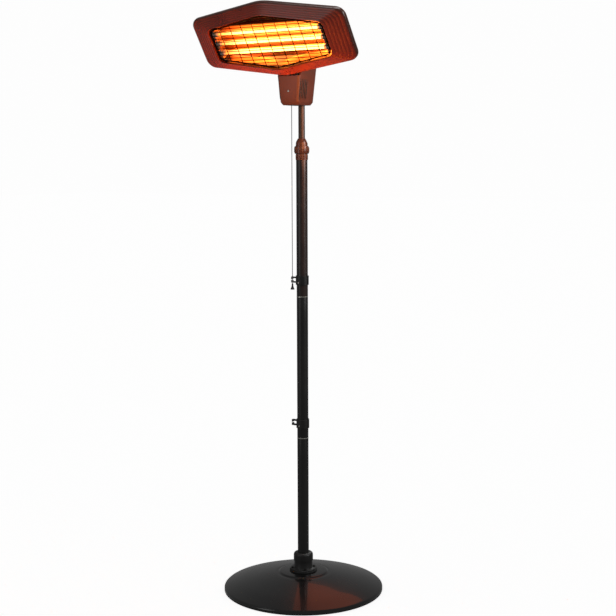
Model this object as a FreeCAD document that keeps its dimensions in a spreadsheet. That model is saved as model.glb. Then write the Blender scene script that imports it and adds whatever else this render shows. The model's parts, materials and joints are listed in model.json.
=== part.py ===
import FreeCAD, Part
import math
import os
import Sketcher
from FreeCAD import Placement, Rotation, Vector

# Free-standing outdoor quartz heater: a weighted round base, a pole of three screwed
# sections, a telescopic mast with a twist lock, a switch neck and a hexagonal tilting head.
# Millimetres.  Z is up, the pole stands on the Z axis, the floor is Z = 0 and the head
# faces -Y.  Head pieces are drawn upright with the tilt pivot as their origin, and are
# then turned down about X by the tilt angle and carried to the pivot.

SIZES = {
    # base
    "base_radius": 230.0, "cover_sheet": 2.0, "rim_height": 10.0, "rim_roll": 6.0,
    "boss_radius": 71.5, "boss_top": 54.0, "boss_step": 4.0,
    "edge_trim_height": 4.0, "edge_trim_width": 6.0,
    "weight_radius": 170.0, "weight_thickness": 12.0, "weight_boss_radius": 45.0,
    "foot_radius": 12.0, "foot_height": 4.0, "foot_circle": 150.0, "foot_count": 4.0,
    "gasket_radius": 40.0, "gasket_thickness": 4.0,
    "socket_flange_radius": 38.0, "socket_flange": 4.0, "socket_radius": 26.2,
    "socket_top": 84.0, "socket_collar_radius": 28.0, "socket_collar_top": 109.0,
    "socket_screw_circle": 32.0, "socket_screw_radius": 2.5, "screw_head": 3.0,
    # pole
    "pole_radius": 16.0, "pole_wall": 1.5, "pole_foot": 40.0, "section_length": 406.0,
    "joint_ring": 2.5, "joint_ring_proud": 0.25, "coupler_reach": 35.0,
    "plug_height": 20.0, "centre_bolt_radius": 4.0, "bolt_head_radius": 7.0,
    "bolt_head_height": 5.0, "centre_washer_radius": 11.0, "washer_thickness": 1.6,
    # cable clips
    "clip_height": 26.0, "clip_wall": 2.5, "clip_reach": 36.0, "clip_jaw_gap": 9.0,
    "clip_jaw": 4.0, "clip_width": 9.0, "clip_hook": 3.5,
    "upper_clip_above_joint": 48.0, "lower_clip_above_joint": 30.0,
    "clip_screw_radius": 2.0,
    # twist lock
    "bush_wall": 0.9, "bush_height": 17.5, "lock_ring_radius": 21.0, "lock_ring_height": 21.5,
    "lock_overlap": 4.5, "lock_barrel_radius": 16.6, "lock_height": 42.5, "lock_nose_radius": 10.6,
    "lock_nose_height": 12.0, "collet_wall": 2.4, "collet_slit": 2.0,
    # telescopic mast
    "mast_radius": 9.25, "mast_wall": 1.2, "mast_gap": 91.0, "mast_inside": 290.0,
    "guide_clearance": 0.3, "guide_height": 24.0, "mast_into_neck": 44.0,
    # neck
    "neck_half_width": 30.5, "neck_front": 61.0, "neck_back": 15.0, "neck_wall": 2.5,
    "neck_flare_side": 12.0, "neck_flare_depth": 6.0, "neck_rise": 123.0,
    "neck_corner": 8.0, "neck_split": 22.0, "neck_screw_radius": 2.6,
    "neck_screw_rise": 38.0, "mount_half": 12.2, "gland_rise": 62.0, "gland_radius": 9.0,
    "gland_neck": 6.3, "gland_length": 10.0, "gland_nut": 7.0, "lead_radius": 3.6,
    "shell_screw_x": 21.0, "shell_screw_rise": 22.0, "shell_screw_radius": 1.8,
    "shell_boss_wall": 2.2, "seat_clearance": 0.3,
    # tilt hinge
    "pivot_ahead": 30.0, "pivot_rise": 107.0, "tilt_angle": 33.4,
    "ear_thickness": 3.0, "lug_width": 24.0, "lug_radius": 11.5, "lug_reach": 26.0,
    "washer_gap": 0.25, "pivot_bolt_radius": 4.0,
    "pivot_head_radius": 6.5, "pivot_head": 5.0, "tilt_washer_radius": 10.0,
    "tilt_washer": 2.4, "bolt_clearance": 0.05,
    "knob_radius": 15.0, "knob_length": 16.0, "knob_gap": 1.0,
    "knob_lobe": 4.5,
    # head
    "head_ahead": 53.5, "head_above": 113.2, "head_width": 501.0, "head_side": 72.6,
    "head_peak": 112.1, "rim_depth": 10.0, "bezel_proud": 20.4, "bezel_wall": 2.5,
    "opening_width": 378.0, "opening_side": 49.9, "opening_peak": 82.7,
    "corner_cut": 23.0, "opening_cut": 16.0, "housing_inset": 8.0, "housing_depth": 52.0,
    "housing_taper": 33.0, "housing_wall": 1.2,
    "vent_length": 44.0, "vent_height": 4.0, "vent_pitch_x": 60.0, "vent_pitch_z": 13.0,
    "housing_screw_radius": 3.5, "housing_screw_head": 2.0, "housing_screw_x": 175.0,
    "housing_screw_z": 28.0,
    # grille and heating elements
    "grille_back": 5.0, "grille_wire": 1.15, "grille_frame_wire": 2.0,
    "bar_pitch": 9.9, "rod_pitch": 37.8, "tube_radius": 5.5, "tube_wall": 1.0,
    "tube_pitch": 28.5, "tube_length": 372.0, "tube_ahead": 4.0, "coil_radius": 2.2,
    "cap_radius": 8.0, "cap_length": 22.0, "cap_clearance": 0.15,
    "bracket_sheet": 2.0, "bracket_depth": 26.0, "bracket_ahead": 10.0,
    "reflector_back": 22.0, "reflector_sheet": 0.8, "slot_width": 10.0,
    "shield_gap": 8.0, "shield_sheet": 1.0,
    "fitting_gap": 4.0, "fitting_depth": 12.0, "terminal_width": 46.0,
    "terminal_height": 20.0, "tip_switch_width": 22.0, "tip_switch_height": 16.0,
    "tip_switch_x": 60.0,
    # pull switch and its cord
    "cord_ahead": 48.0, "cord_radius": 1.0, "cord_drop": 504.0, "knot_radius": 2.3,
    "knot_drop": 481.0, "bell_height": 17.0, "bell_radius": 5.6, "bell_neck_radius": 2.4,
    "rotor_radius": 8.0, "rotor_thickness": 6.0, "axle_radius": 1.95,
    "switch_half": 12.5, "switch_front": 9.0, "switch_depth": 20.0,
    "spring_radius": 2.9, "spring_wire": 0.5, "spring_length": 12.0,
}


class Size:
    """A length or angle that knows both its value and the sheet expression behind it."""

    def __init__(self, text, value):
        self.text = text
        self.value = value

    def _join(self, other, sign, value):
        return Size("(" + self.text + " " + sign + " " + other.text + ")", value)

    def __add__(self, other):
        other = as_size(other)
        return self._join(other, "+", self.value + other.value)

    def __radd__(self, other):
        return as_size(other) + self

    def __sub__(self, other):
        other = as_size(other)
        return self._join(other, "-", self.value - other.value)

    def __rsub__(self, other):
        return as_size(other) - self

    def __mul__(self, other):
        other = as_size(other)
        return self._join(other, "*", self.value * other.value)

    __rmul__ = __mul__

    def __truediv__(self, other):
        other = as_size(other)
        return self._join(other, "/", self.value / other.value)

    def __neg__(self):
        return Size("(0 - " + self.text + ")", -self.value)


def as_size(number):
    """Return a plain number or a Size as a Size."""
    if isinstance(number, Size):
        return number
    return Size(repr(float(number)), float(number))


def distance(start, end):
    """Straight distance between two bound points of a sketch."""
    across = as_size(end[0]) - start[0]
    up = as_size(end[1]) - start[1]
    square = across * across + up * up
    return Size("sqrt(" + square.text + ")", math.sqrt(square.value))


def towards(start, end, reach):
    """The bound point a set way from one point towards another."""
    part = as_size(reach) / distance(start, end)
    return (start[0] + (as_size(end[0]) - start[0]) * part,
            start[1] + (as_size(end[1]) - start[1]) * part)


class Dimensions:
    """The driving dimensions, each a Size bound to its cell of the sheet."""

    def __init__(self, document):
        sheet = document.addObject("Spreadsheet::Sheet", "Sizes")
        for row, (name, value) in enumerate(SIZES.items(), start=1):
            sheet.set("A" + str(row), name)
            sheet.set("B" + str(row), str(value))
            sheet.setAlias("B" + str(row), name)
            setattr(self, name, Size("Sizes." + name, value))


doc = FreeCAD.newDocument("Heater")
d = Dimensions(doc)
doc.recompute()

SUBPARTS = []


def bind(item, prop, size):
    """Tie one property to an expression of the sheet."""
    item.setExpression(prop, as_size(size).text)


def place(item, x=0, y=0, z=0, axis=None, angle=0):
    """Put an object at a bound position, turned by a bound angle about an axis."""
    spots = [as_size(x), as_size(y), as_size(z)]
    turn = Rotation(Vector(axis), as_size(angle).value) if axis else Rotation()
    item.Placement = Placement(Vector(*[spot.value for spot in spots]), turn)
    for letter, spot in zip("xyz", spots):
        if spot.value:
            bind(item, "Placement.Base." + letter, spot)
    if axis and isinstance(angle, Size):
        bind(item, "Placement.Rotation.Angle", angle)
    return item


def keep(item, label):
    """Name an object as a finished sub-part."""
    item.Label = label
    SUBPARTS.append(item)
    return item


def fresh(label):
    """Start a PartDesign body."""
    return doc.addObject("PartDesign::Body", label + "_body")


def plane_of(body, role):
    """Return one of a body's own origin planes or axes by its role."""
    return next(item for item in body.Origin.OriginFeatures if item.Role == role)


def new_sketch(body, role, offset=0):
    """Attach an empty sketch to an origin plane of its body, moved along the normal."""
    sketch = body.newObject("Sketcher::SketchObject", "Outline")
    sketch.AttachmentSupport = [(plane_of(body, role), "")]
    sketch.MapMode = "FlatFace"
    offset = as_size(offset)
    sketch.AttachmentOffset = Placement(Vector(0, 0, offset.value), Rotation())
    if offset.value:
        bind(sketch, "AttachmentOffset.Base.z", offset)
    return sketch


def pin(sketch, curve, spot, across, up):
    """Hold one point of a sketch at bound coordinates."""
    for kind, axis, size in (("DistanceX", -2, across), ("DistanceY", -1, up)):
        size = as_size(size)
        if size.value == 0:
            sketch.addConstraint(Sketcher.Constraint("PointOnObject", curve, spot, axis))
        elif size.value > 0:
            index = sketch.addConstraint(Sketcher.Constraint(kind, -1, 1, curve, spot, size.value))
            bind(sketch, "Constraints[" + str(index) + "]", size)
        else:
            index = sketch.addConstraint(Sketcher.Constraint(kind, curve, spot, -1, 1, -size.value))
            bind(sketch, "Constraints[" + str(index) + "]", -size)


def draw_polygon(sketch, points):
    """Draw a closed outline whose corners are held at bound coordinates."""
    spots = [Vector(as_size(x).value, as_size(y).value, 0) for x, y in points]
    first = sketch.GeometryCount
    count = len(spots)
    for index in range(count):
        sketch.addGeometry(Part.LineSegment(spots[index], spots[(index + 1) % count]), False)
    for index in range(count):
        after = first + (index + 1) % count
        sketch.addConstraint(Sketcher.Constraint("Coincident", first + index, 2, after, 1))
    for index, (x, y) in enumerate(points):
        pin(sketch, first + index, 1, x, y)


def draw_rounded(sketch, corners, cuts):
    """Draw a closed outline with an arc at each corner, which starts a cut's length from it."""
    count = len(corners)
    first = sketch.GeometryCount
    ends = []
    for index, (corner, cut) in enumerate(zip(corners, cuts)):
        ends.append((towards(corner, corners[index - 1], cut),
                     towards(corner, corners[(index + 1) % count], cut)))
    spots = [[Vector(x.value, y.value, 0) for x, y in pair] for pair in ends]
    for index in range(count):
        after = (index + 1) % count
        corner = Vector(as_size(corners[after][0]).value, as_size(corners[after][1]).value, 0)
        crown = (spots[after][0] + spots[after][1]) * 0.25 + corner * 0.5
        sketch.addGeometry(Part.LineSegment(spots[index][1], spots[after][0]), False)
        sketch.addGeometry(Part.Arc(spots[after][0], crown, spots[after][1]), False)
    for index in range(count):
        line = first + 2 * index
        after = first + (2 * index + 2) % (2 * count)
        pin(sketch, line, 1, *ends[index][1])
        pin(sketch, line, 2, *ends[(index + 1) % count][0])
        sketch.addConstraint(Sketcher.Constraint("Tangent", line, 2, line + 1, 1))
        sketch.addConstraint(Sketcher.Constraint("Coincident", line + 1, 2, after, 1))


def draw_circle(sketch, x, y, radius):
    """Draw a circle with a bound centre and radius."""
    centre = Vector(as_size(x).value, as_size(y).value, 0)
    index = sketch.addGeometry(Part.Circle(centre, Vector(0, 0, 1), as_size(radius).value), False)
    number = sketch.addConstraint(Sketcher.Constraint("Radius", index, as_size(radius).value))
    bind(sketch, "Constraints[" + str(number) + "]", radius)
    pin(sketch, index, 3, x, y)


def rectangle(left, right, low, high):
    """Corners of an upright rectangle."""
    return [(left, low), (right, low), (right, high), (left, high)]


def pad(body, sketch, length, both_ways=False):
    """Pad a sketch by a bound length."""
    feature = body.newObject("PartDesign::Pad", "Pad")
    feature.Profile = sketch
    feature.Midplane = both_ways
    feature.Length = as_size(length).value
    bind(feature, "Length", length)
    return feature


def cut_through(body, sketch):
    """Cut a sketch right through its body, both ways."""
    feature = body.newObject("PartDesign::Pocket", "Cut")
    feature.Profile = sketch
    feature.Type = "ThroughAll"
    feature.Midplane = True
    return feature


def cut_down(body, sketch, depth, backwards=False):
    """Cut a sketch to a bound depth."""
    feature = body.newObject("PartDesign::Pocket", "Recess")
    feature.Profile = sketch
    feature.Length = as_size(depth).value
    feature.Reversed = backwards
    bind(feature, "Length", depth)
    return feature


def turned_body(label, points):
    """Turn (radius, height) corners about the Z axis into a new body."""
    body = fresh(label)
    sketch = new_sketch(body, "XZ_Plane")
    draw_polygon(sketch, points)
    feature = body.newObject("PartDesign::Revolution", "Turned")
    feature.Profile = sketch
    feature.ReferenceAxis = (sketch, ["V_Axis"])
    feature.Angle = 360
    return body


def turned(label, points):
    """Make a turned sub-part from (radius, height) corners about the Z axis."""
    return keep(turned_body(label, points), label)


def ring(label, inner, outer, low, high):
    """Make a plain ring, or a disc where the inner radius is zero."""
    return turned(label, rectangle(inner, outer, low, high))


def loft(body, lower, upper, cut=False):
    """Loft between two sketches with flat sides, adding or cutting."""
    kind = "PartDesign::SubtractiveLoft" if cut else "PartDesign::AdditiveLoft"
    feature = body.newObject(kind, "Loft")
    feature.Profile = lower
    feature.Sections = [upper]
    feature.Ruled = True
    return feature


def rod(radius, length, x=0, y=0, z=0, axis=None, angle=0, name="Rod"):
    """Make a Part cylinder of bound size and place."""
    item = doc.addObject("Part::Cylinder", name)
    item.Radius = as_size(radius).value
    item.Height = as_size(length).value
    bind(item, "Radius", radius)
    bind(item, "Height", length)
    return place(item, x, y, z, axis, angle)


def block(width, depth, height, x=0, y=0, z=0, name="Block"):
    """Make a Part box of bound size whose low corner is at x, y, z."""
    item = doc.addObject("Part::Box", name)
    for prop, size in (("Length", width), ("Width", depth), ("Height", height)):
        setattr(item, prop, as_size(size).value)
        bind(item, prop, size)
    return place(item, x, y, z)


def less(base, *tools):
    """Take one solid after another out of a base."""
    for tool in tools:
        item = doc.addObject("Part::Cut", "Cut")
        item.Base = base
        item.Tool = tool
        base = item
    return base


def both(base, tool, name="Common"):
    """Keep what two solids share."""
    item = doc.addObject("Part::Common", name)
    item.Base = base
    item.Tool = tool
    return item


def joined(pieces, name="Joined"):
    """Fuse touching solids into one piece."""
    item = doc.addObject("Part::MultiFuse", name)
    item.Shapes = pieces
    return item


def group(pieces, name="Group"):
    """Gather separate solids into one node."""
    item = doc.addObject("Part::Compound", name)
    item.Links = pieces
    return item


# ---------------------------------------------------------------- base
cover_under_boss = d.boss_top - d.cover_sheet
weight_low = d.foot_height
weight_high = weight_low + d.weight_thickness
shoulder_height = d.boss_top - d.boss_step
dome_span = d.base_radius - d.rim_roll - d.boss_radius
dome_rise = shoulder_height - d.rim_height
dome_out = [(d.boss_radius + dome_span * part, d.rim_height + dome_rise * rise)
            for part, rise in ((0.98, 0.10), (0.70, 0.45), (0.36, 0.77))]
pole_hole = d.pole_radius + d.seat_clearance


def lowered(points):
    """Move an outline down by the thickness of the cover's sheet."""
    return [(radius, height - d.cover_sheet) for radius, height in points]


outer_line = [(d.base_radius, d.edge_trim_height), (d.base_radius, d.rim_height - 1),
              (d.base_radius - 2, d.rim_height + 1)]
outer_line += dome_out + [(d.boss_radius, shoulder_height),
                          (d.boss_radius - d.boss_step, d.boss_top),
                          (pole_hole, d.boss_top)]
inner_line = [(pole_hole, cover_under_boss),
              (d.boss_radius - d.boss_step - 1, cover_under_boss)]
inner_line += lowered([(d.boss_radius - 1, shoulder_height)])
inner_line += lowered(dome_out[::-1])
inner_line += [(d.base_radius - d.cover_sheet, d.rim_height - 2),
               (d.base_radius - d.cover_sheet, d.edge_trim_height)]
turned("base_cover", outer_line + inner_line)

ring("base_edge_trim", d.base_radius - d.edge_trim_width, d.base_radius, 0, d.edge_trim_height)

pocket_radius = d.pole_radius + d.seat_clearance
head_recess = weight_low + d.bolt_head_height + d.washer_thickness
recess_radius = d.centre_washer_radius + 1
turned("base_weight", [
    (recess_radius, weight_low), (d.weight_radius, weight_low),
    (d.weight_radius, weight_high), (d.weight_boss_radius, weight_high),
    (d.weight_boss_radius, cover_under_boss), (pocket_radius, cover_under_boss),
    (pocket_radius, d.pole_foot), (d.centre_bolt_radius, d.pole_foot),
    (d.centre_bolt_radius, head_recess), (recess_radius, head_recess)])

feet = []
foot_number = int(d.foot_count.value)
for index in range(foot_number):
    turn = math.radians(45 + 360 * index / foot_number)
    feet.append(rod(d.foot_radius, d.foot_height, d.foot_circle * math.cos(turn),
                    d.foot_circle * math.sin(turn), name="Foot"))
keep(group(feet), "base_feet")

ring("socket_gasket", pole_hole, d.gasket_radius, d.boss_top, d.boss_top + d.gasket_thickness)
socket_low = d.boss_top + d.gasket_thickness
flange_top = socket_low + d.socket_flange
turned("pole_socket", [
    (pole_hole, socket_low), (d.socket_flange_radius, socket_low),
    (d.socket_flange_radius, flange_top), (d.socket_radius + 0.8, flange_top),
    (d.socket_radius, flange_top + 1.5),
    (d.socket_radius, d.socket_top), (pole_hole, d.socket_top)])
turned("socket_collar", [
    (pole_hole, d.socket_top), (d.socket_collar_radius, d.socket_top),
    (d.socket_collar_radius, d.socket_collar_top - 8),
    (d.socket_collar_radius - 2, d.socket_collar_top - 3),
    (d.socket_collar_radius - 6, d.socket_collar_top), (pole_hole, d.socket_collar_top)])
socket_screws = []
for index in range(4):
    turn = math.radians(45 + 90 * index)
    socket_screws.append(rod(d.socket_screw_radius + 1.5, d.screw_head,
                             d.socket_screw_circle * math.cos(turn),
                             d.socket_screw_circle * math.sin(turn), flange_top))
keep(group(socket_screws), "socket_screws")

# ---------------------------------------------------------------- pole
bore = d.pole_radius - d.pole_wall
section_names = ("pole_lower", "pole_middle", "pole_upper")
section_low = []
for index, name in enumerate(section_names):
    low = d.pole_foot + (d.section_length + d.joint_ring) * index
    section_low.append(low)
    ring(name, bore, d.pole_radius, low, low + d.section_length)
pole_top = section_low[2] + d.section_length
lower_joint = section_low[1] - d.joint_ring
upper_joint = section_low[2] - d.joint_ring

for name, joint in (("joint_coupler_lower", lower_joint), ("joint_coupler_upper", upper_joint)):
    turned(name, [
        (bore - 2, joint - d.coupler_reach), (bore, joint - d.coupler_reach), (bore, joint),
        (d.pole_radius + d.joint_ring_proud, joint),
        (d.pole_radius + d.joint_ring_proud, joint + d.joint_ring),
        (bore, joint + d.joint_ring), (bore, joint + d.joint_ring + d.coupler_reach),
        (bore - 2, joint + d.joint_ring + d.coupler_reach)])

ring("pole_foot_plug", d.centre_bolt_radius, bore, d.pole_foot, d.pole_foot + d.plug_height)
turned("centre_bolt", [
    (0, weight_low), (d.bolt_head_radius, weight_low),
    (d.bolt_head_radius, weight_low + d.bolt_head_height),
    (d.centre_bolt_radius, weight_low + d.bolt_head_height),
    (d.centre_bolt_radius, d.pole_foot + d.plug_height), (0, d.pole_foot + d.plug_height)])
ring("centre_washer", d.centre_bolt_radius, d.centre_washer_radius,
     weight_low + d.bolt_head_height, head_recess)

# ---------------------------------------------------------------- cable clips
clip_outer = d.pole_radius + d.clip_wall
jaw_half = d.clip_jaw_gap / 2
jaw_outer = jaw_half + d.clip_jaw
upper_clip_mid = upper_joint + d.upper_clip_above_joint
lower_clip_mid = lower_joint + d.lower_clip_above_joint + d.clip_height / 2


def cable_clip(label, middle):
    """A split band on the pole with a two-jaw cable hook that points to -X."""
    body = turned_body(label, rectangle(d.pole_radius, clip_outer, -d.clip_height / 2,
                                        d.clip_height / 2))
    jaws = new_sketch(body, "XZ_Plane")
    root = -(d.pole_radius + d.clip_wall / 2)
    tip = -d.clip_reach
    draw_polygon(jaws, [
        (root, -jaw_outer), (tip, -jaw_outer), (tip, -(jaw_half - d.clip_hook)),
        (tip + 2.5, -(jaw_half - d.clip_hook)), (tip + 3.5, -jaw_half),
        (-(clip_outer + 1), -jaw_half), (-(clip_outer + 1), jaw_half),
        (tip + 3.5, jaw_half), (tip + 2.5, jaw_half - d.clip_hook),
        (tip, jaw_half - d.clip_hook), (tip, jaw_outer), (root, jaw_outer)])
    pad(body, jaws, d.clip_width, both_ways=True)
    split = new_sketch(body, "XY_Plane", -d.clip_height)
    draw_polygon(split, rectangle(d.pole_radius - 1, clip_outer + 1, -1.0, 1.0))
    cut_down(body, split, d.clip_height * 2, backwards=True)
    place(body, 0, 0, middle)
    return keep(body, label)


cable_clip("cable_clip_lower", lower_clip_mid)
cable_clip("cable_clip_upper", upper_clip_mid)
clip_screws = []
for middle in (lower_clip_mid, upper_clip_mid):
    clip_screws.append(rod(d.clip_screw_radius, 2.0, 0, -clip_outer,
                           middle - d.clip_height / 4, (1, 0, 0), 90, name="ClipScrew"))
keep(group(clip_screws), "clip_screws")

# ---------------------------------------------------------------- twist lock
lock_low = pole_top - d.lock_overlap
ring("mast_bush", d.pole_radius, d.pole_radius + d.bush_wall,
     lock_low - d.bush_height, lock_low - d.seat_clearance)
barrel_top = lock_low + d.lock_height - d.lock_nose_height
inside = d.pole_radius + d.seat_clearance
nose_bore = d.mast_radius + d.collet_wall + d.seat_clearance
turned("lock_collar", [
    (inside, lock_low), (d.lock_ring_radius - 1.5, lock_low),
    (d.lock_ring_radius, lock_low + 2), (d.lock_ring_radius, lock_low + d.lock_ring_height - 2),
    (d.lock_barrel_radius + 1.2, lock_low + d.lock_ring_height),
    (d.lock_barrel_radius, barrel_top), (d.lock_barrel_radius - 2.4, barrel_top + 6),
    (d.lock_nose_radius, lock_low + d.lock_height),
    (d.mast_radius + d.seat_clearance, lock_low + d.lock_height),
    (d.mast_radius + d.seat_clearance, lock_low + d.lock_height - 2),
    (nose_bore, barrel_top), (nose_bore, pole_top + d.seat_clearance),
    (inside, pole_top + d.seat_clearance)])

collet_low = pole_top - 24
collet_bore = d.mast_radius + d.seat_clearance
collet = turned_body("collet", [
    (collet_bore, collet_low), (bore, collet_low), (bore, pole_top),
    (d.mast_radius + d.collet_wall, pole_top), (d.mast_radius + d.collet_wall - 0.6, barrel_top - 2),
    (collet_bore, barrel_top - 2)])
slit = new_sketch(collet, "YZ_Plane")
draw_polygon(slit, rectangle(-d.collet_slit / 2, d.collet_slit / 2, pole_top - 10, barrel_top + 5))
cut_through(collet, slit)
keep(collet, "collet")

# ---------------------------------------------------------------- telescopic mast
lock_top = lock_low + d.lock_height
neck_low = lock_top + d.mast_gap
mast_low = lock_top - d.mast_inside
mast_high = neck_low + d.mast_into_neck
ring("mast_tube", d.mast_radius - d.mast_wall, d.mast_radius, mast_low, mast_high)
ring("mast_guide", d.mast_radius, bore - d.guide_clearance, mast_low, mast_low + d.guide_height)

# ---------------------------------------------------------------- neck
pivot_y = -d.pivot_ahead
pivot_z = neck_low + d.pivot_rise
neck_top = neck_low + d.neck_rise


def neck_section(body, height, flare, inset_by):
    """One level section of the neck, flared part of the way and set in from its outside."""
    sketch = new_sketch(body, "XY_Plane", height)
    side = d.neck_half_width + d.neck_flare_side * flare - inset_by
    front = d.neck_front + d.neck_flare_depth * flare - inset_by
    back = d.neck_back + d.neck_flare_depth * flare - inset_by
    draw_rounded(sketch, rectangle(-side, side, -front, back), [d.neck_corner - inset_by / 2] * 4)
    return sketch


neck = fresh("neck_form")
rounding = d.neck_corner / d.neck_rise
loft(neck, neck_section(neck, neck_low, 0, d.neck_corner * 0.6),
     neck_section(neck, neck_low + d.neck_corner, rounding, 0))
loft(neck, neck_section(neck, neck_low + d.neck_corner, rounding, 0),
     neck_section(neck, neck_top, 1, 0))
loft(neck, neck_section(neck, neck_low + d.neck_wall, 0, d.neck_corner * 0.6 + d.neck_wall),
     neck_section(neck, neck_low + d.neck_corner, rounding, d.neck_wall), cut=True)
loft(neck, neck_section(neck, neck_low + d.neck_corner, rounding, d.neck_wall),
     neck_section(neck, neck_top + 1, 1, d.neck_wall), cut=True)
crown = new_sketch(neck, "YZ_Plane")
far = d.neck_front + d.neck_flare_depth + 5
draw_polygon(crown, [
    (-far, pivot_z - 28), (pivot_y - 31, pivot_z - 28), (pivot_y - 12, pivot_z + 2),
    (pivot_y - 5, pivot_z + 9.5), (pivot_y + 10, pivot_z + 9.5), (d.neck_back + 2, pivot_z - 6),
    (far, pivot_z - 6), (far, neck_top + 10), (-far, neck_top + 10)])
cut_through(neck, crown)
mast_hole = new_sketch(neck, "XY_Plane", neck_low - 5)
draw_circle(mast_hole, 0, 0, d.mast_radius + d.seat_clearance)
cut_down(neck, mast_hole, d.neck_wall + 10, backwards=True)
cord_hole = new_sketch(neck, "XY_Plane", neck_low - 5)
draw_circle(cord_hole, 0, -d.cord_ahead, 3.0)
cut_down(neck, cord_hole, d.neck_wall + 10, backwards=True)
bolt_hole = new_sketch(neck, "YZ_Plane")
draw_circle(bolt_hole, pivot_y, pivot_z, d.pivot_bolt_radius + 0.5)
cut_through(neck, bolt_hole)
lead_hole = new_sketch(neck, "XZ_Plane")
draw_circle(lead_hole, 0, neck_low + d.gland_rise, d.gland_neck + 0.2)
cut_down(neck, lead_hole, d.neck_back + d.neck_flare_depth + 10)
screw_hole = new_sketch(neck, "XZ_Plane")
draw_circle(screw_hole, 0, neck_low + d.neck_screw_rise, d.neck_screw_radius)
cut_down(neck, screw_hole, d.neck_front + d.neck_flare_depth + 10, backwards=True)

reach = 200.0
split_y = -d.neck_split
front_half = block(reach, reach, reach, -reach / 2, split_y - reach, neck_low - 20)
back_half = block(reach, reach, reach, -reach / 2, split_y, neck_low - 20)
shell_screw_z = neck_low + d.shell_screw_rise
back_screws = []
bosses = []
for side in (-1, 1):
    across = d.shell_screw_x * side
    bosses.append(rod(d.shell_screw_radius + d.shell_boss_wall, d.neck_front - d.neck_split,
                      across, split_y, shell_screw_z, (1, 0, 0), 90, name="Boss"))
    back_screws.append(rod(d.shell_screw_radius, d.neck_back + d.neck_split + 12.0, across,
                           d.neck_back + 1, shell_screw_z, (1, 0, 0), 90, name="ShellScrew"))
keep(less(joined([both(neck, front_half)] + bosses), *back_screws), "neck_front_shell")
keep(less(both(neck, back_half), *back_screws), "neck_rear_shell")

mount_side = d.mount_half * 2
mount_low = neck_low + d.neck_corner
mount = block(mount_side, mount_side, mast_high - mount_low, -d.mount_half, -d.mount_half,
              mount_low)
keep(less(mount, rod(d.mast_radius, 80.0, 0, 0, neck_low - 10)), "mast_mount")

# the hinge yoke: a folded steel U that carries the pivot bolt
ear_inner = d.lug_width / 2 + d.washer_gap + d.tilt_washer
ear_outer = ear_inner + d.ear_thickness
yoke = fresh("hinge_yoke")
yoke_low = mast_high
ears = new_sketch(yoke, "YZ_Plane")
draw_polygon(ears, [
    (pivot_y - 14, yoke_low), (d.neck_back - 5, yoke_low), (d.neck_back - 8, yoke_low + 20),
    (pivot_y + 12, pivot_z + 5), (pivot_y + 6, pivot_z + 8.5), (pivot_y - 6, pivot_z + 8.5),
    (pivot_y - 12, pivot_z + 1), (pivot_y - 14, yoke_low + 30)])
pad(yoke, ears, ear_outer * 2, both_ways=True)
throat = new_sketch(yoke, "XZ_Plane")
draw_polygon(throat, rectangle(-ear_inner, ear_inner, yoke_low + d.ear_thickness, neck_top + 20))
cut_through(yoke, throat)
yoke_bolt = new_sketch(yoke, "YZ_Plane")
draw_circle(yoke_bolt, pivot_y, pivot_z, d.pivot_bolt_radius)
cut_through(yoke, yoke_bolt)
keep(yoke, "hinge_yoke")

shell_half = d.neck_half_width + d.neck_flare_side * d.pivot_rise / d.neck_rise
bolt_left = -(shell_half + d.knob_gap + d.knob_length - 3)
head_seat = shell_half + 0.6
SIDEWAYS = (0, 1, 0)
pivot_bolt = joined([
    rod(d.pivot_bolt_radius, head_seat - bolt_left, bolt_left, pivot_y, pivot_z, SIDEWAYS, 90),
    rod(d.pivot_head_radius, d.pivot_head, head_seat, pivot_y, pivot_z, SIDEWAYS, 90)])
keep(pivot_bolt, "pivot_bolt")
washers = []
for low in (d.lug_width / 2 + d.washer_gap, -ear_inner):
    disc = rod(d.tilt_washer_radius, d.tilt_washer, low, pivot_y, pivot_z, SIDEWAYS, 90)
    hole = rod(d.pivot_bolt_radius, 5.0, low - 1, pivot_y, pivot_z, SIDEWAYS, 90)
    washers.append(less(disc, hole))
keep(group(washers), "friction_washers")

knob_lobes = [rod(d.knob_radius - 3, d.knob_length, name="KnobCore")]
lobe_circle = d.knob_radius - d.knob_lobe
for index in range(6):
    turn = math.radians(60 * index)
    knob_lobes.append(rod(d.knob_lobe, d.knob_length, lobe_circle * math.cos(turn),
                          lobe_circle * math.sin(turn)))
knob = less(joined(knob_lobes), rod(d.pivot_bolt_radius + d.bolt_clearance,
                                    d.knob_length - 2, z=-1.0))
place(knob, -(shell_half + d.knob_gap), pivot_y, pivot_z, SIDEWAYS, -90)
keep(knob, "tilt_knob")

gland_back = d.neck_back + d.neck_flare_depth * d.gland_rise / d.neck_rise
gland_z = neck_low + d.gland_rise
gland_tip = gland_back + d.gland_length
gland = joined([
    rod(d.gland_neck, d.gland_length + d.neck_wall + 1, 0, gland_tip, gland_z, (1, 0, 0), 90),
    rod(d.gland_radius, d.gland_nut, 0, gland_tip, gland_z, (1, 0, 0), 90)])
keep(less(gland, rod(d.lead_radius, d.gland_length * 4, 0, gland_tip + d.gland_length, gland_z,
                     (1, 0, 0), 90)), "mains_gland")

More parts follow.
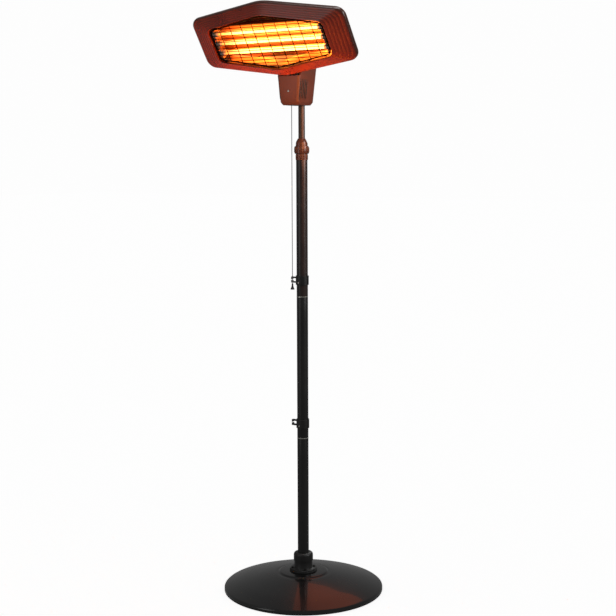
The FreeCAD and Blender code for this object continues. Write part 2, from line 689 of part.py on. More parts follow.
# ---------------------------------------------------------------- pull switch
switch_low = neck_low + 16
switch_high = mast_high - 1
cord_y = -d.cord_ahead
rotor_z = switch_low + 15
rotor_left = d.spring_radius + 1.0
spring_low = switch_low + 2.5
stem_radius = d.spring_radius - 0.8
spring_bore = d.spring_radius + d.spring_wire + 0.1
axle_left = rotor_left - 0.5
case_front = cord_y - d.switch_front
front_screw_z = neck_low + d.neck_screw_rise
case_block = block(d.switch_half * 2, d.switch_depth, switch_high - switch_low, -d.switch_half,
                   case_front, switch_low)
front_screw = rod(d.neck_screw_radius, d.neck_front - d.cord_ahead - 2, 0, case_front + 4,
                  front_screw_z, (1, 0, 0), 90, name="FrontScrew")
rotor_room = rod(d.rotor_radius + d.seat_clearance, d.rotor_thickness + 1, rotor_left - 0.5,
                 cord_y + 1, rotor_z, SIDEWAYS, 90)
axle = rod(d.axle_radius, d.switch_half - axle_left, axle_left, cord_y + 1, rotor_z,
           SIDEWAYS, 90)
stem_bore = rod(stem_radius + d.seat_clearance, 10.0, 0, cord_y, switch_low - 5)
spring_room = rod(spring_bore, d.spring_length + 6, 0, cord_y, spring_low)
keep(less(case_block, rotor_room, axle, stem_bore, spring_room, front_screw), "switch_case")
keep(less(rod(d.rotor_radius, d.rotor_thickness, rotor_left, cord_y + 1, rotor_z, SIDEWAYS, 90),
          rod(d.axle_radius + d.bolt_clearance, 20.0, rotor_left - 5, cord_y + 1, rotor_z,
              SIDEWAYS, 90)), "switch_rotor")
keep(group([axle]), "switch_axle")
keep(group([front_screw] + back_screws), "neck_screws")
plunger_low = neck_low + 6
flange_low = spring_low + d.spring_length + 0.3
keep(joined([rod(stem_radius, flange_low + 2 - plunger_low, 0, cord_y, plunger_low),
             rod(d.spring_radius + 0.2, 2.0, 0, cord_y, flange_low)]), "switch_plunger")
coil = doc.addObject("Part::Helix", "ReturnCoil")
coil.Pitch = 2.0
coil.Height = d.spring_length.value - d.spring_wire.value * 2
coil.Radius = d.spring_radius.value
bind(coil, "Height", d.spring_length - d.spring_wire * 2)
bind(coil, "Radius", d.spring_radius)
place(coil, 0, cord_y, spring_low + d.spring_wire)
coil_wire = doc.addObject("Part::Circle", "CoilWire")
coil_wire.Radius = d.spring_wire.value
bind(coil_wire, "Radius", d.spring_wire)
place(coil_wire, d.spring_radius, cord_y, spring_low + d.spring_wire, (1, 0, 0), 90)
spring = doc.addObject("Part::Sweep", "ReturnSpring")
spring.Sections = [coil_wire]
spring.Spine = (coil, ["Edge1"])
spring.Solid = True
spring.Frenet = True
keep(spring, "switch_spring")

# the cord hangs straight down from the plunger through the hole under the neck
cord_top = plunger_low
keep(rod(d.cord_radius, d.cord_drop, 0, cord_y, cord_top - d.cord_drop), "pull_cord")
knot = doc.addObject("Part::Sphere", "Knot")
knot.Radius = d.knot_radius.value
bind(knot, "Radius", d.knot_radius)
place(knot, 0, cord_y, cord_top - d.knot_drop)
knot_bore = rod(d.cord_radius, 20.0, 0, cord_y, cord_top - d.knot_drop - 10)
keep(less(knot, knot_bore), "cord_knot")
bell_top = cord_top - d.cord_drop + 3
bell_low = bell_top - d.bell_height
bell = turned("cord_bell", [
    (0, bell_low + 1), (d.bell_radius - 0.6, bell_low), (d.bell_radius, bell_low + 1.2),
    (d.bell_radius * 0.55, bell_low + 6.5), (d.bell_neck_radius, bell_low + 9.5),
    (d.bell_neck_radius, bell_top), (d.cord_radius, bell_top), (d.cord_radius, bell_top - 3),
    (0, bell_top - 3)])
place(bell, 0, cord_y, 0)

# ---------------------------------------------------------------- tilting head
TILT = (1, 0, 0)


def on_head(item, label):
    """Finish a head piece: turn it down about the pivot and carry it there."""
    place(item, 0, pivot_y, pivot_z, TILT, d.tilt_angle)
    return keep(item, label)


def hexagon(body, ahead, size):
    """The head's six-sided outline, a set distance in front of the pivot."""
    width, side, peak, corner = size
    sketch = new_sketch(body, "XZ_Plane", ahead)
    mid = d.head_above
    half = width / 2
    crown = corner * 1.2
    draw_rounded(sketch, [(half, mid + side), (0, mid + peak), (-half, mid + side),
                          (-half, mid - side), (0, mid - peak), (half, mid - side)],
                 [corner, crown, corner, corner, crown, corner])
    return sketch


outer = (d.head_width, d.head_side, d.head_peak, d.corner_cut)
opening = (d.opening_width, d.opening_side, d.opening_peak, d.opening_cut)


def inset(hexagon_size, wall):
    """Shrink a hexagon by a wall all round."""
    width, side, peak, corner = hexagon_size
    return (width - wall * 2, side - wall, peak - wall, corner - wall * 0.4)


def hex_solid(label, stages, body=None, cut=False):
    """Stack of lofts through hexagon stages, each (distance ahead, hexagon size)."""
    body = body or fresh(label)
    for (ahead, size), (next_ahead, next_size) in zip(stages, stages[1:]):
        loft(body, hexagon(body, ahead, size), hexagon(body, next_ahead, next_size), cut)
    return body


rim_ahead = d.head_ahead
face_ahead = rim_ahead + d.bezel_proud
rim_back = rim_ahead - d.rim_depth


def hex_shell(label, stages, wall, open_back):
    """A hexagonal shell, open in front: a stack less the same stack inset by its wall."""
    body = hex_solid(label, stages)
    inner = [(ahead, inset(size, wall)) for ahead, size in stages]
    if not open_back:
        inner[0] = (inner[0][0] + wall, inner[0][1])
    return hex_solid(label, inner, body, cut=True)


bezel = hex_shell("bezel", [(rim_back, outer), (rim_ahead, outer), (face_ahead, opening)],
                  d.bezel_wall, True)
on_head(bezel, "front_bezel")

housing_front = inset(outer, d.bezel_wall + d.seat_clearance)
housing_mid = inset(outer, d.housing_inset)
housing_back = inset(outer, d.housing_inset + d.housing_taper)
back_ahead = rim_ahead - d.housing_depth
housing = hex_shell("housing", [(back_ahead, housing_back), (rim_back, housing_mid),
                                (rim_ahead - 2, housing_front)],
                    d.housing_wall, False)
vents = fresh("vent_cutters")
vent_sketch = new_sketch(vents, "XZ_Plane", back_ahead - 5)
for column in (-2, -1, 0, 1, 2):
    for row in (-2, -1, 1, 2):
        middle = d.vent_pitch_x * column
        level = d.head_above + d.vent_pitch_z * row
        draw_polygon(vent_sketch, rectangle(middle - d.vent_length / 2, middle + d.vent_length / 2,
                                            level - d.vent_height / 2, level + d.vent_height / 2))
pad(vents, vent_sketch, 12.0)
on_head(less(housing, vents), "rear_housing")

lug_top = d.head_above - (d.head_peak - d.housing_inset - d.housing_taper) + 6
lug = fresh("hinge_lug")
lug_side = new_sketch(lug, "YZ_Plane")
draw_polygon(lug_side, [
    (-d.lug_reach, lug_top), (-d.lug_radius, 0), (-d.lug_radius * 0.7, -d.lug_radius * 0.7),
    (0, -d.lug_radius), (d.lug_radius * 0.7, -d.lug_radius * 0.7), (d.lug_radius, 0),
    (0, lug_top)])
pad(lug, lug_side, d.lug_width, both_ways=True)
lug_bore = new_sketch(lug, "YZ_Plane")
draw_circle(lug_bore, 0, 0, d.pivot_bolt_radius + d.bolt_clearance)
cut_through(lug, lug_bore)
housing_form = hex_solid("housing_outside_copy", [
    (back_ahead, housing_back), (rim_back, housing_mid), (rim_ahead - 2, housing_front)])
on_head(less(lug, housing_form), "hinge_lug")

# grille
grille_ahead = face_ahead - d.grille_back
frame_outer = inset(opening, d.bezel_wall + 1)
frame_inner = inset(opening, d.bezel_wall + 1 + d.grille_frame_wire * 2)
frame_form = hex_solid("frame_out", [(grille_ahead - d.grille_frame_wire, frame_outer),
                                        (grille_ahead + d.grille_frame_wire, frame_outer)])
frame_void = hex_solid("frame_in", [(grille_ahead - d.grille_frame_wire * 2, frame_inner),
                                       (grille_ahead + d.grille_frame_wire * 2, frame_inner)])
on_head(less(frame_form, frame_void), "grille_frame")

wire = d.grille_wire
frame_half = frame_outer[0] / 2
frame_rise = (frame_outer[2] - frame_outer[1]) / frame_half
rods = []
for index in range(-4, 5):
    across = d.rod_pitch * index
    half = frame_outer[2] - frame_rise * abs(index) * d.rod_pitch - 1
    rods.append(rod(wire, half * 2, across, -grille_ahead, d.head_above - half))
on_head(group(rods), "grille_rods")
bars = []
bar_ahead = grille_ahead + wire * 2
bar_reach = int((frame_outer[2].value - 3) / d.bar_pitch.value)
for index in range(-bar_reach, bar_reach + 1):
    level = d.bar_pitch * index
    if abs(level.value) < frame_outer[1].value:
        half = frame_half - 1
    else:
        half = (frame_outer[2] - abs(index) * d.bar_pitch) / frame_rise - 2
    bars.append(rod(wire, half * 2, -half, -bar_ahead, d.head_above + level, SIDEWAYS, 90))
on_head(group(bars), "grille_bars")

# quartz tubes with their heating coils and ceramic ends
tube_ahead = rim_ahead + d.tube_ahead
tube_half = d.tube_length / 2
caps = []
for number, row in enumerate((1, 0, -1), start=1):
    level = d.head_above + d.tube_pitch * row
    shell = rod(d.tube_radius, d.tube_length, -tube_half, -tube_ahead, level, SIDEWAYS, 90)
    void = rod(d.tube_radius - d.tube_wall, d.tube_length + 2, -tube_half - 1, -tube_ahead, level,
               SIDEWAYS, 90)
    on_head(less(shell, void), "quartz_tube_" + str(number))
    on_head(group([rod(d.coil_radius, d.tube_length, -tube_half, -tube_ahead, level, SIDEWAYS, 90)]),
            "heating_coil_" + str(number))
    for side in (-1, 1):
        start = (tube_half - d.cap_length / 2) * side - d.cap_length / 2
        cap = rod(d.cap_radius, d.cap_length, start, -tube_ahead, level, SIDEWAYS, 90)
        core = rod(d.tube_radius + d.cap_clearance, d.cap_length + 2, start - 1, -tube_ahead,
                   level, SIDEWAYS, 90)
        caps.append(less(cap, core))
on_head(group(caps), "ceramic_ends")
brackets = []
for side in (-1, 1):
    middle = (tube_half - d.cap_length / 2) * side
    plate = block(d.bracket_sheet, d.bracket_depth, d.tube_pitch * 2 + d.bracket_depth,
                  middle - d.bracket_sheet / 2, -(tube_ahead + d.bracket_ahead),
                  d.head_above - d.tube_pitch - d.bracket_depth / 2)
    holes = joined([rod(d.cap_radius, 6.0, middle - 3, -tube_ahead,
                        d.head_above + d.tube_pitch * row, SIDEWAYS, 90)
                    for row in (-1, 0, 1)])
    brackets.append(less(plate, holes))
on_head(group(brackets), "tube_brackets")

# reflector tray and heat shield
tray_back = tube_ahead - d.reflector_back
tray_front = inset(opening, -6)
tray_rear = inset(opening, 12)
tray = hex_shell("tray", [(tray_back, tray_rear), (tube_ahead + 2, tray_front)],
                 d.reflector_sheet, False)
slot_depth = d.bracket_depth + 4
slots = joined([block(d.slot_width, slot_depth, d.tube_pitch * 2 + slot_depth,
                      (tube_half - d.cap_length / 2) * side - d.slot_width / 2,
                      -(tube_ahead + d.bracket_ahead + 4),
                      d.head_above - d.tube_pitch - slot_depth / 2) for side in (-1, 1)])
on_head(less(tray, slots), "reflector")
shield_ahead = tray_back - d.shield_gap
shield_size = inset(outer, d.housing_inset + d.housing_taper + 6)
shield = hex_solid("shield", [(shield_ahead - d.shield_sheet, shield_size),
                                 (shield_ahead, shield_size)])
on_head(shield, "heat_shield")
fitting_front = -(back_ahead + d.fitting_gap + d.fitting_depth)
on_head(group([block(d.terminal_width, d.fitting_depth, d.terminal_height,
                     -d.terminal_width / 2, fitting_front,
                     d.head_above - d.terminal_height / 2)]), "terminal_block")
on_head(group([block(d.tip_switch_width, d.fitting_depth, d.tip_switch_height, d.tip_switch_x,
                     fitting_front, d.head_above - d.tip_switch_height / 2)]),
        "tip_over_switch")
housing_screws = []
for side in (-1, 1):
    for level in (-1, 1):
        housing_screws.append(rod(d.housing_screw_radius, d.housing_screw_head,
                                  d.housing_screw_x * side,
                                  -(back_ahead - d.housing_screw_head),
                                  d.head_above + d.housing_screw_z * level, (1, 0, 0), 90))
on_head(group(housing_screws), "housing_screws")

# ---------------------------------------------------------------- check and write
doc.recompute()
failed = [item for item in doc.Objects if "Invalid" in item.State or "Error" in item.State]
if failed:
    owners = [item.Name + " in " + " ".join(user.Name for user in item.InList)
              + ": " + item.getStatusString() for item in failed]
    raise RuntimeError("failed: " + "; ".join(owners))
for item in SUBPARTS:
    if item.Shape.isNull() or not item.Shape.isValid() or not item.Shape.Solids:
        raise RuntimeError("bad shape: " + item.Label)
os.makedirs("parts", exist_ok=True)
for item in SUBPARTS:
    item.Shape.exportStep("parts/" + item.Label + ".step")
print("sub-parts:", len(SUBPARTS))
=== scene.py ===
"""Free-standing quartz heater: the visible surfaces and finishes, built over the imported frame."""

import json
import logging
import math
from dataclasses import dataclass
from enum import Enum
from typing import Any, Sequence

import bmesh
import bpy
from mathutils import Matrix, Vector

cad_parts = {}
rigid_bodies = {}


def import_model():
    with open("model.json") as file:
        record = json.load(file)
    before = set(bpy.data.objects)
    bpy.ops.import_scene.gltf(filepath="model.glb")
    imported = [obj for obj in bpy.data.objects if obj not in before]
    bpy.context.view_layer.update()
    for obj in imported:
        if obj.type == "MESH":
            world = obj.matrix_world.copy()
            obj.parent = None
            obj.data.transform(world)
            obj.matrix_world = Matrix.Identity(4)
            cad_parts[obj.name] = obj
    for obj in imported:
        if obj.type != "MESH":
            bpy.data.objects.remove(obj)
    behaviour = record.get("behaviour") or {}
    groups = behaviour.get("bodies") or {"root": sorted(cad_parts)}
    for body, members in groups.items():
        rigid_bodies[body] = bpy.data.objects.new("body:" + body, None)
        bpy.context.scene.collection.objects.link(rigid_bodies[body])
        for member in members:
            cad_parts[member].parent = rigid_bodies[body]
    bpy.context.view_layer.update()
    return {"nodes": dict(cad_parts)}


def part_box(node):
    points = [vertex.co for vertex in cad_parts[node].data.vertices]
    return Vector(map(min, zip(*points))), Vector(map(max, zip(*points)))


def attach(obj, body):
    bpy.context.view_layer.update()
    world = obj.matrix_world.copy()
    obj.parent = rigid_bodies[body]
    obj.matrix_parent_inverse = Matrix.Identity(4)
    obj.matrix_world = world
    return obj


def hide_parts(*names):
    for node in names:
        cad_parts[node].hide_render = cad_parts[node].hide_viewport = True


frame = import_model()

MM = 0.001
LOG = logging.getLogger("heater")
Point = tuple[float, float]
Tree = bpy.types.NodeTree
Node = bpy.types.Node
Socket = bpy.types.NodeSocket
Thing = bpy.types.Object


class Body(Enum):
    """The moving bodies of the frame."""

    STAND = "stand"
    LOCK = "lock"
    MAST = "mast"
    KNOB = "knob"
    ROTOR = "rotor"
    PULL = "pull"
    HEAD = "head"


class Slot(Enum):
    """The record's material slots."""

    POWDER = "black_enamel"
    BASE = "base_enamel"
    HEAD = "head_enamel"
    NYLON = "black_nylon"
    PHENOLIC = "switch_plastic"
    RUBBER = "rubber_black"
    IRON = "iron_weight"
    ZINC = "zinc_steel"
    SPRING = "spring_steel"
    GRILLE = "grille_steel"
    REFLECTOR = "reflector_aluminium"
    QUARTZ = "quartz"
    COIL = "glowing_coil"
    STEATITE = "steatite"
    CORD = "grey_cord"


# ---------------------------------------------------------------- node and mesh helpers


def linear(code: str, alpha: float = 1.0) -> tuple[float, float, float, float]:
    """Turn an sRGB hex colour into the linear colour that Blender uses.

    Args:
        code: The colour, such as "#1A1A1A".
        alpha: The fourth value to return with it.

    Returns:
        Linear red, green, blue and alpha.
    """
    parts = [int(code[i : i + 2], 16) / 255 for i in (1, 3, 5)]
    red, green, blue = (p / 12.92 if p <= 0.04045 else ((p + 0.055) / 1.055) ** 2.4 for p in parts)
    return red, green, blue, alpha


def settle(tree: Tree, node: Node, inputs: dict[Any, Any]) -> None:
    """Fill or link a node's inputs.

    Args:
        tree: The node's tree.
        node: The node.
        inputs: For each input, by name or number, a value, or the node or output that it
            is linked to. A node stands for its first output, a list for several links.
    """
    for key, value in inputs.items():
        several = value if isinstance(value, list) else [value]
        sources = [one.outputs[0] if isinstance(one, Node) else one for one in several]
        if isinstance(sources[0], Socket):
            for source in sources:
                tree.links.new(source, node.inputs[key])
        else:
            node.inputs[key].default_value = value


def add(tree: Tree, kind: str, inputs: dict[Any, Any] | None = None, **settings: Any) -> Node:
    """Add one node, set it, and fill or link its inputs.

    Args:
        tree: The node tree that gets the node.
        kind: The node's type name.
        inputs: Its inputs, as settle takes them.
        settings: The node's own properties.

    Returns:
        The new node.
    """
    node = tree.nodes.new(kind)
    for key, value in settings.items():
        setattr(node, key, value)
    settle(tree, node, inputs or {})
    return node


def per_metre(size_mm: float) -> float:
    """Pattern scale in repeats per metre for a real size in millimetres."""
    return 1000.0 / size_mm


def linked(name: str, data: bpy.types.ID) -> Thing:
    """Put new data into the scene as an object at the origin."""
    made = bpy.data.objects.new(name, data)
    bpy.context.scene.collection.objects.link(made)
    return made


def from_faces(name: str, points: Sequence[Vector], faces: Sequence[Sequence[int]]) -> Thing:
    """Make a mesh object with smooth shading and edges that stay crisp where it folds.

    Args:
        name: The object's name.
        points: The corners, in metres.
        faces: The corner numbers of each face.

    Returns:
        The new object.
    """
    mesh = bpy.data.meshes.new(name)
    mesh.from_pydata([tuple(p) for p in points], [], [tuple(f) for f in faces])
    mesh.update()
    shade(mesh)
    return linked(name, mesh)


def shade(mesh: bpy.types.Mesh, fold_deg: float = 38.0) -> None:
    """Shade a mesh smooth, apart from edges that fold by more than an angle."""
    mesh.shade_smooth()
    mesh.set_sharp_from_angle(angle=math.radians(fold_deg))


def skin(
    name: str, rings: Sequence[Sequence[Vector]], loop: bool = False, caps: bool = False
) -> Thing:
    """Join closed rings of the same count into a surface whose faces point outwards.

    Args:
        name: The object's name.
        rings: The rings, one after another along the piece.
        loop: Join the last ring to the first, as on a ring-shaped piece.
        caps: Close both ends.

    Returns:
        The new object.
    """
    count = len(rings[0])
    points = [p for r in rings for p in r]
    faces: list[tuple[int, ...]] = []
    last = len(rings) if loop else len(rings) - 1
    for row in range(last):
        low, high = row * count, ((row + 1) % len(rings)) * count
        for i in range(count):
            j = (i + 1) % count
            faces.append((low + i, low + j, high + j, high + i))
    if caps:
        faces.append(tuple(range(count))[::-1])
        faces.append(tuple(range((len(rings) - 1) * count, len(rings) * count)))
    made = from_faces(name, points, faces)
    outward(made)
    return made


def outward(made: Thing) -> None:
    """Merge doubles and turn every face of a closed mesh outwards."""
    sheet = bmesh.new()
    sheet.from_mesh(made.data)
    bmesh.ops.remove_doubles(sheet, verts=sheet.verts, dist=1e-6)
    bmesh.ops.recalc_face_normals(sheet, faces=sheet.faces)
    sheet.to_mesh(made.data)
    sheet.free()
    shade(made.data)


def lathe(
    name: str, outline: Sequence[Point], steps: int = 96, centre: Point = (0.0, 0.0)
) -> Thing:
    """Turn a closed outline of (radius, height) in millimetres about an upright axis.

    Args:
        name: The object's name.
        outline: The closed outline, ending next to where it starts.
        steps: The number of steps round.
        centre: Where the axis stands, x and y in millimetres.

    Returns:
        The turned piece.
    """
    rings = []
    for radius, height in outline:
        ring = []
        for i in range(steps):
            turn = 2 * math.pi * i / steps
            ring.append(
                Vector((
                    centre[0] + radius * math.cos(turn), centre[1] + radius * math.sin(turn), height
                )) * MM
            )
        rings.append(ring)
    return skin(name, rings, loop=True)


def eased(points: Sequence[Point], steps: int = 6) -> list[Point]:
    """Run a smooth line through points, with a Catmull-Rom curve.

    Args:
        points: The points that the line passes.
        steps: The steps between two of them.

    Returns:
        The points of the smooth line.
    """
    ends = [points[0], *points, points[-1]]
    line: list[Point] = []
    for a, b, c, e in zip(ends, ends[1:], ends[2:], ends[3:]):
        for i in range(steps):
            t = i / steps
            line.append(
                tuple(
                    0.5 * (2 * b[k] + (c[k] - a[k]) * t
                           + (2 * a[k] - 5 * b[k] + 4 * c[k] - e[k]) * t**2
                           + (3 * b[k] - a[k] - 3 * c[k] + e[k]) * t**3)
                    for k in (0, 1)
                )
            )
    line.append(points[-1])
    return line


def around(count: int, reach: float, height: float, start: float = 0.0) -> list[Sequence[float]]:
    """Space points evenly round the upright axis.

    Args:
        count: How many points.
        reach: Their distance from the axis.
        height: Their height.
        start: The first one's turn, in radians.

    Returns:
        The points.
    """
    turns = [start + 2 * math.pi * index / count for index in range(count)]
    return [(reach * math.cos(turn), reach * math.sin(turn), height) for turn in turns]


def rounded(
    corners: Sequence[Point], cuts: Sequence[float], steps: int = 8, along: int = 4
) -> list[Point]:
    """Outline with rounded corners and evenly divided sides.

    Args:
        corners: The corners in order.
        cuts: How far from each corner its rounding starts, in millimetres.
        steps: The steps round a corner.
        along: The parts that each straight side is divided into.

    Returns:
        The outline's points, the same number whatever the sizes.
    """
    arcs: list[list[Vector]] = []
    count = len(corners)
    for i, reach in enumerate(cuts):
        here = Vector(corners[i])
        back = (Vector(corners[i - 1]) - here).normalized()
        ahead = (Vector(corners[(i + 1) % count]) - here).normalized()
        half = back.angle(ahead) / 2
        middle = here + (back + ahead).normalized() * (reach / math.cos(half))
        start, end = here + back * reach - middle, here + ahead * reach - middle
        swing = math.copysign(start.angle(end), start.cross(end))
        arc = [middle + Matrix.Rotation(swing * k / steps, 2) @ start for k in range(steps + 1)]
        arcs.append(arc)
    line: list[Point] = []
    for i, arc in enumerate(arcs):
        line += [tuple(p) for p in arc]
        after = arcs[(i + 1) % count][0]
        line += [tuple(arc[-1].lerp(after, k / along)) for k in range(1, along)]
    return line


def softened(
    node: str, name: str, width_mm: float, segments: int = 2, fold_deg: float = 32.0
) -> Thing:
    """Copy a CAD piece and round its edges, as moulding or pressing does.

    Args:
        node: The CAD node.
        name: The new piece's name.
        width_mm: The width of the rounding.
        segments: The steps across it.
        fold_deg: Only edges that fold by more than this are rounded.

    Returns:
        The new piece, which stands for the node.
    """
    copy = frame["nodes"][node].data.copy()
    copy.name = name
    sheet = bmesh.new()
    sheet.from_mesh(copy)
    bmesh.ops.remove_doubles(sheet, verts=sheet.verts, dist=2e-6)
    bmesh.ops.dissolve_limit(
        sheet, angle_limit=math.radians(0.6), verts=sheet.verts, edges=sheet.edges
    )
    sheet.to_mesh(copy)
    sheet.free()
    copy.materials.clear()
    made = linked(name, copy)
    bevel = made.modifiers.new("EdgeRounding", "BEVEL")
    bevel.width = width_mm * MM
    bevel.segments = segments
    bevel.limit_method = "ANGLE"
    bevel.angle_limit = math.radians(fold_deg)
    bevel.use_clamp_overlap = True
    bevel.miter_outer = "MITER_ARC"
    shade(copy, 40.0)
    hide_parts(node)
    return made


def hand_over(made: Thing, body: Body, slot: Slot, finish: "Finish", *nodes: str) -> None:
    """Give a finished piece its finish, its body and the CAD nodes it stands for.

    Args:
        made: The piece.
        body: The body that it moves with.
        slot: The record's slot of its finish; not used.
        finish: Its finish.
        nodes: The CAD nodes that it replaces.
    """
    wear(made, finish)
    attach(made, body.value)
    if nodes:
        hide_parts(*nodes)
    LOG.info("%s rides on %s", made.name, body.value)


def wear(made: Thing, finish: "Finish") -> None:
    """Put one finish all over an object."""
    made.data.materials.clear()
    made.data.materials.append(finish.material())


def dress(nodes: Sequence[str], finish: "Finish") -> None:
    """Put a finish on carried-over CAD nodes, without touching their meshes."""
    for node in nodes:
        data = frame["nodes"][node].data
        if not data.materials:
            data.materials.append(None)
        for index in range(len(data.materials)):
            data.materials[index] = finish.material()
        LOG.info("%s keeps its shape, finish %s", node, finish.name)


# ---------------------------------------------------------------- geometry node trees


class NodeTree:
    """A geometry node tree with named inputs that is evaluated into a plain mesh."""

    KINDS = {
        float: "NodeSocketFloat", int: "NodeSocketInt", Vector: "NodeSocketVector",
        bpy.types.Material: "NodeSocketMaterial"
    }

    def __init__(self, name: str, sizes: dict[str, type]) -> None:
        """Make an empty tree.

        Args:
            name: The tree's name.
            sizes: The type of each named input.
        """
        self.tree = bpy.data.node_groups.new(name, "GeometryNodeTree")
        face = self.tree.interface
        face.new_socket("Geometry", in_out="INPUT", socket_type="NodeSocketGeometry")
        for label, kind in {**sizes, "Finish": bpy.types.Material}.items():
            face.new_socket(label, in_out="INPUT", socket_type=self.KINDS[kind])
        face.new_socket("Geometry", in_out="OUTPUT", socket_type="NodeSocketGeometry")
        self.given = self.tree.nodes.new("NodeGroupInput").outputs

    def end(self, shape: Node) -> None:
        """Finish the tree: real geometry, smooth shading and the finish."""
        real = add(self.tree, "GeometryNodeRealizeInstances", {0: shape})
        smooth = add(self.tree, "GeometryNodeSetShadeSmooth", {0: real})
        dressed = add(
            self.tree, "GeometryNodeSetMaterial",
            {"Geometry": smooth, "Material": self.given["Finish"]}
        )
        add(self.tree, "NodeGroupOutput", {0: dressed})

    def grow(
        self, name: str, finish: "Finish", seeds: Sequence[Sequence[float]] = (),
        place: Matrix | None = None, **sizes: Any
    ) -> Thing:
        """Evaluate the tree into a plain mesh object.

        Args:
            name: The object's name.
            finish: Its finish.
            seeds: Points in millimetres that the tree starts from.
            place: Where the result goes.
            sizes: A value for each named input, with _ for a space.

        Returns:
            The new object.
        """
        start = bpy.data.meshes.new(name + "_start")
        start.from_pydata([tuple(Vector(p) * MM) for p in seeds], [], [])
        carrier = linked(name + "_start", start)
        modifier = carrier.modifiers.new("Grow", "NODES")
        modifier.node_group = self.tree
        values = {label.replace("_", " "): value for label, value in sizes.items()}
        values["Finish"] = finish.material()
        for item in self.tree.interface.items_tree:
            if item.in_out == "INPUT" and item.name in values:
                modifier[item.identifier] = values[item.name]
        bpy.context.view_layer.update()
        graph = bpy.context.evaluated_depsgraph_get()
        mesh = bpy.data.meshes.new_from_object(carrier.evaluated_get(graph))
        mesh.name = name
        carrier.modifiers.clear()
        bpy.data.objects.remove(carrier)
        if place is not None:
            mesh.transform(place)
        shade(mesh)
        return linked(name, mesh)


def screw_tree() -> NodeTree:
    """Pan-head screws with a cross recess, one on each seed point.

    Returns:
        The tree, with inputs Head Radius, Head Height and Facing.
    """
    made = NodeTree(
        "CrossHeadScrews", {"Head Radius": float, "Head Height": float, "Facing": Vector}
    )
    tree, given = made.tree, made.given
    radius, height = given["Head Radius"], given["Head Height"]
    skirt = add(tree, "ShaderNodeMath", {0: height, 1: 0.5}, operation="MULTIPLY")
    top = add(tree, "ShaderNodeMath", {0: radius, 1: 0.72}, operation="MULTIPLY")
    lift = add(tree, "ShaderNodeMath", {0: height, 1: 0.49}, operation="MULTIPLY")
    body = add(tree, "GeometryNodeMeshCylinder", {"Vertices": 28, "Radius": radius, "Depth": skirt})
    crown = add(
        tree, "GeometryNodeMeshCone",
        {"Vertices": 28, "Radius Top": top, "Radius Bottom": radius, "Depth": skirt}
    )
    half = add(tree, "ShaderNodeMath", {0: height, 1: 0.25}, operation="MULTIPLY")
    low = add(tree, "ShaderNodeCombineXYZ", {"Z": half})
    high = add(tree, "ShaderNodeCombineXYZ", {"Z": lift})
    body_up = add(tree, "GeometryNodeTransform", {"Geometry": body, "Translation": low})
    crown_up = add(tree, "GeometryNodeTransform", {"Geometry": crown, "Translation": high})
    blade = add(tree, "ShaderNodeMath", {0: radius, 1: 1.15}, operation="MULTIPLY")
    thin = add(tree, "ShaderNodeMath", {0: radius, 1: 0.26}, operation="MULTIPLY")
    long_way = add(tree, "ShaderNodeCombineXYZ", {"X": blade, "Y": thin, "Z": height})
    cross_way = add(tree, "ShaderNodeCombineXYZ", {"X": thin, "Y": blade, "Z": height})
    cuts = []
    for size in (long_way, cross_way):
        block = add(tree, "GeometryNodeMeshCube", {"Size": size})
        above = add(tree, "ShaderNodeCombineXYZ", {"Z": height})
        cuts.append(add(tree, "GeometryNodeTransform", {"Geometry": block, "Translation": above}))
    whole = add(tree, "GeometryNodeMeshBoolean", {"Mesh 2": [body_up, crown_up]}, operation="UNION")
    recessed = add(
        tree, "GeometryNodeMeshBoolean", {"Mesh 1": whole, "Mesh 2": cuts}, operation="DIFFERENCE"
    )
    spread = add(
        tree, "GeometryNodeInstanceOnPoints",
        {"Points": given["Geometry"], "Instance": recessed, "Rotation": given["Facing"]}
    )
    made.end(spread)
    return made


def rib_tree() -> NodeTree:
    """Rounded ribs of one length, one on each seed point, for grips and flutes.

    Returns:
        The tree, with inputs Rib Radius, Rib Length and Facing.
    """
    made = NodeTree("MouldedRibs", {"Rib Radius": float, "Rib Length": float, "Facing": Vector})
    tree, given = made.tree, made.given
    half = add(tree, "ShaderNodeMath", {0: given["Rib Length"], 1: 0.5}, operation="MULTIPLY")
    down = add(tree, "ShaderNodeMath", {0: half, 1: -1.0}, operation="MULTIPLY")
    start = add(tree, "ShaderNodeCombineXYZ", {"Z": down})
    end = add(tree, "ShaderNodeCombineXYZ", {"Z": half})
    line = add(tree, "GeometryNodeCurvePrimitiveLine", {"Start": start, "End": end})
    parts = add(tree, "GeometryNodeResampleCurve", {"Curve": line, "Count": 9})
    # the ends taper away, as a moulded rib's do
    along = add(tree, "GeometryNodeSplineParameter")
    off = add(tree, "ShaderNodeMath", {0: along.outputs["Factor"], 1: 0.5}, operation="SUBTRACT")
    twice = add(tree, "ShaderNodeMath", {0: off, 1: 2.0}, operation="MULTIPLY")
    power = add(tree, "ShaderNodeMath", {0: twice, 1: 6.0}, operation="POWER")
    taper = add(tree, "ShaderNodeMath", {0: 1.02, 1: power}, operation="SUBTRACT")
    shaped = add(tree, "GeometryNodeSetCurveRadius", {"Curve": parts, "Radius": taper})
    section = add(
        tree, "GeometryNodeCurvePrimitiveCircle", {"Resolution": 10, "Radius": given["Rib Radius"]}
    )
    rib = add(
        tree, "GeometryNodeCurveToMesh",
        {"Curve": shaped, "Profile Curve": section, "Fill Caps": True, "Scale": taper}
    )
    spread = add(
        tree, "GeometryNodeInstanceOnPoints",
        {"Points": given["Geometry"], "Instance": rib, "Rotation": given["Facing"]}
    )
    made.end(spread)
    return made


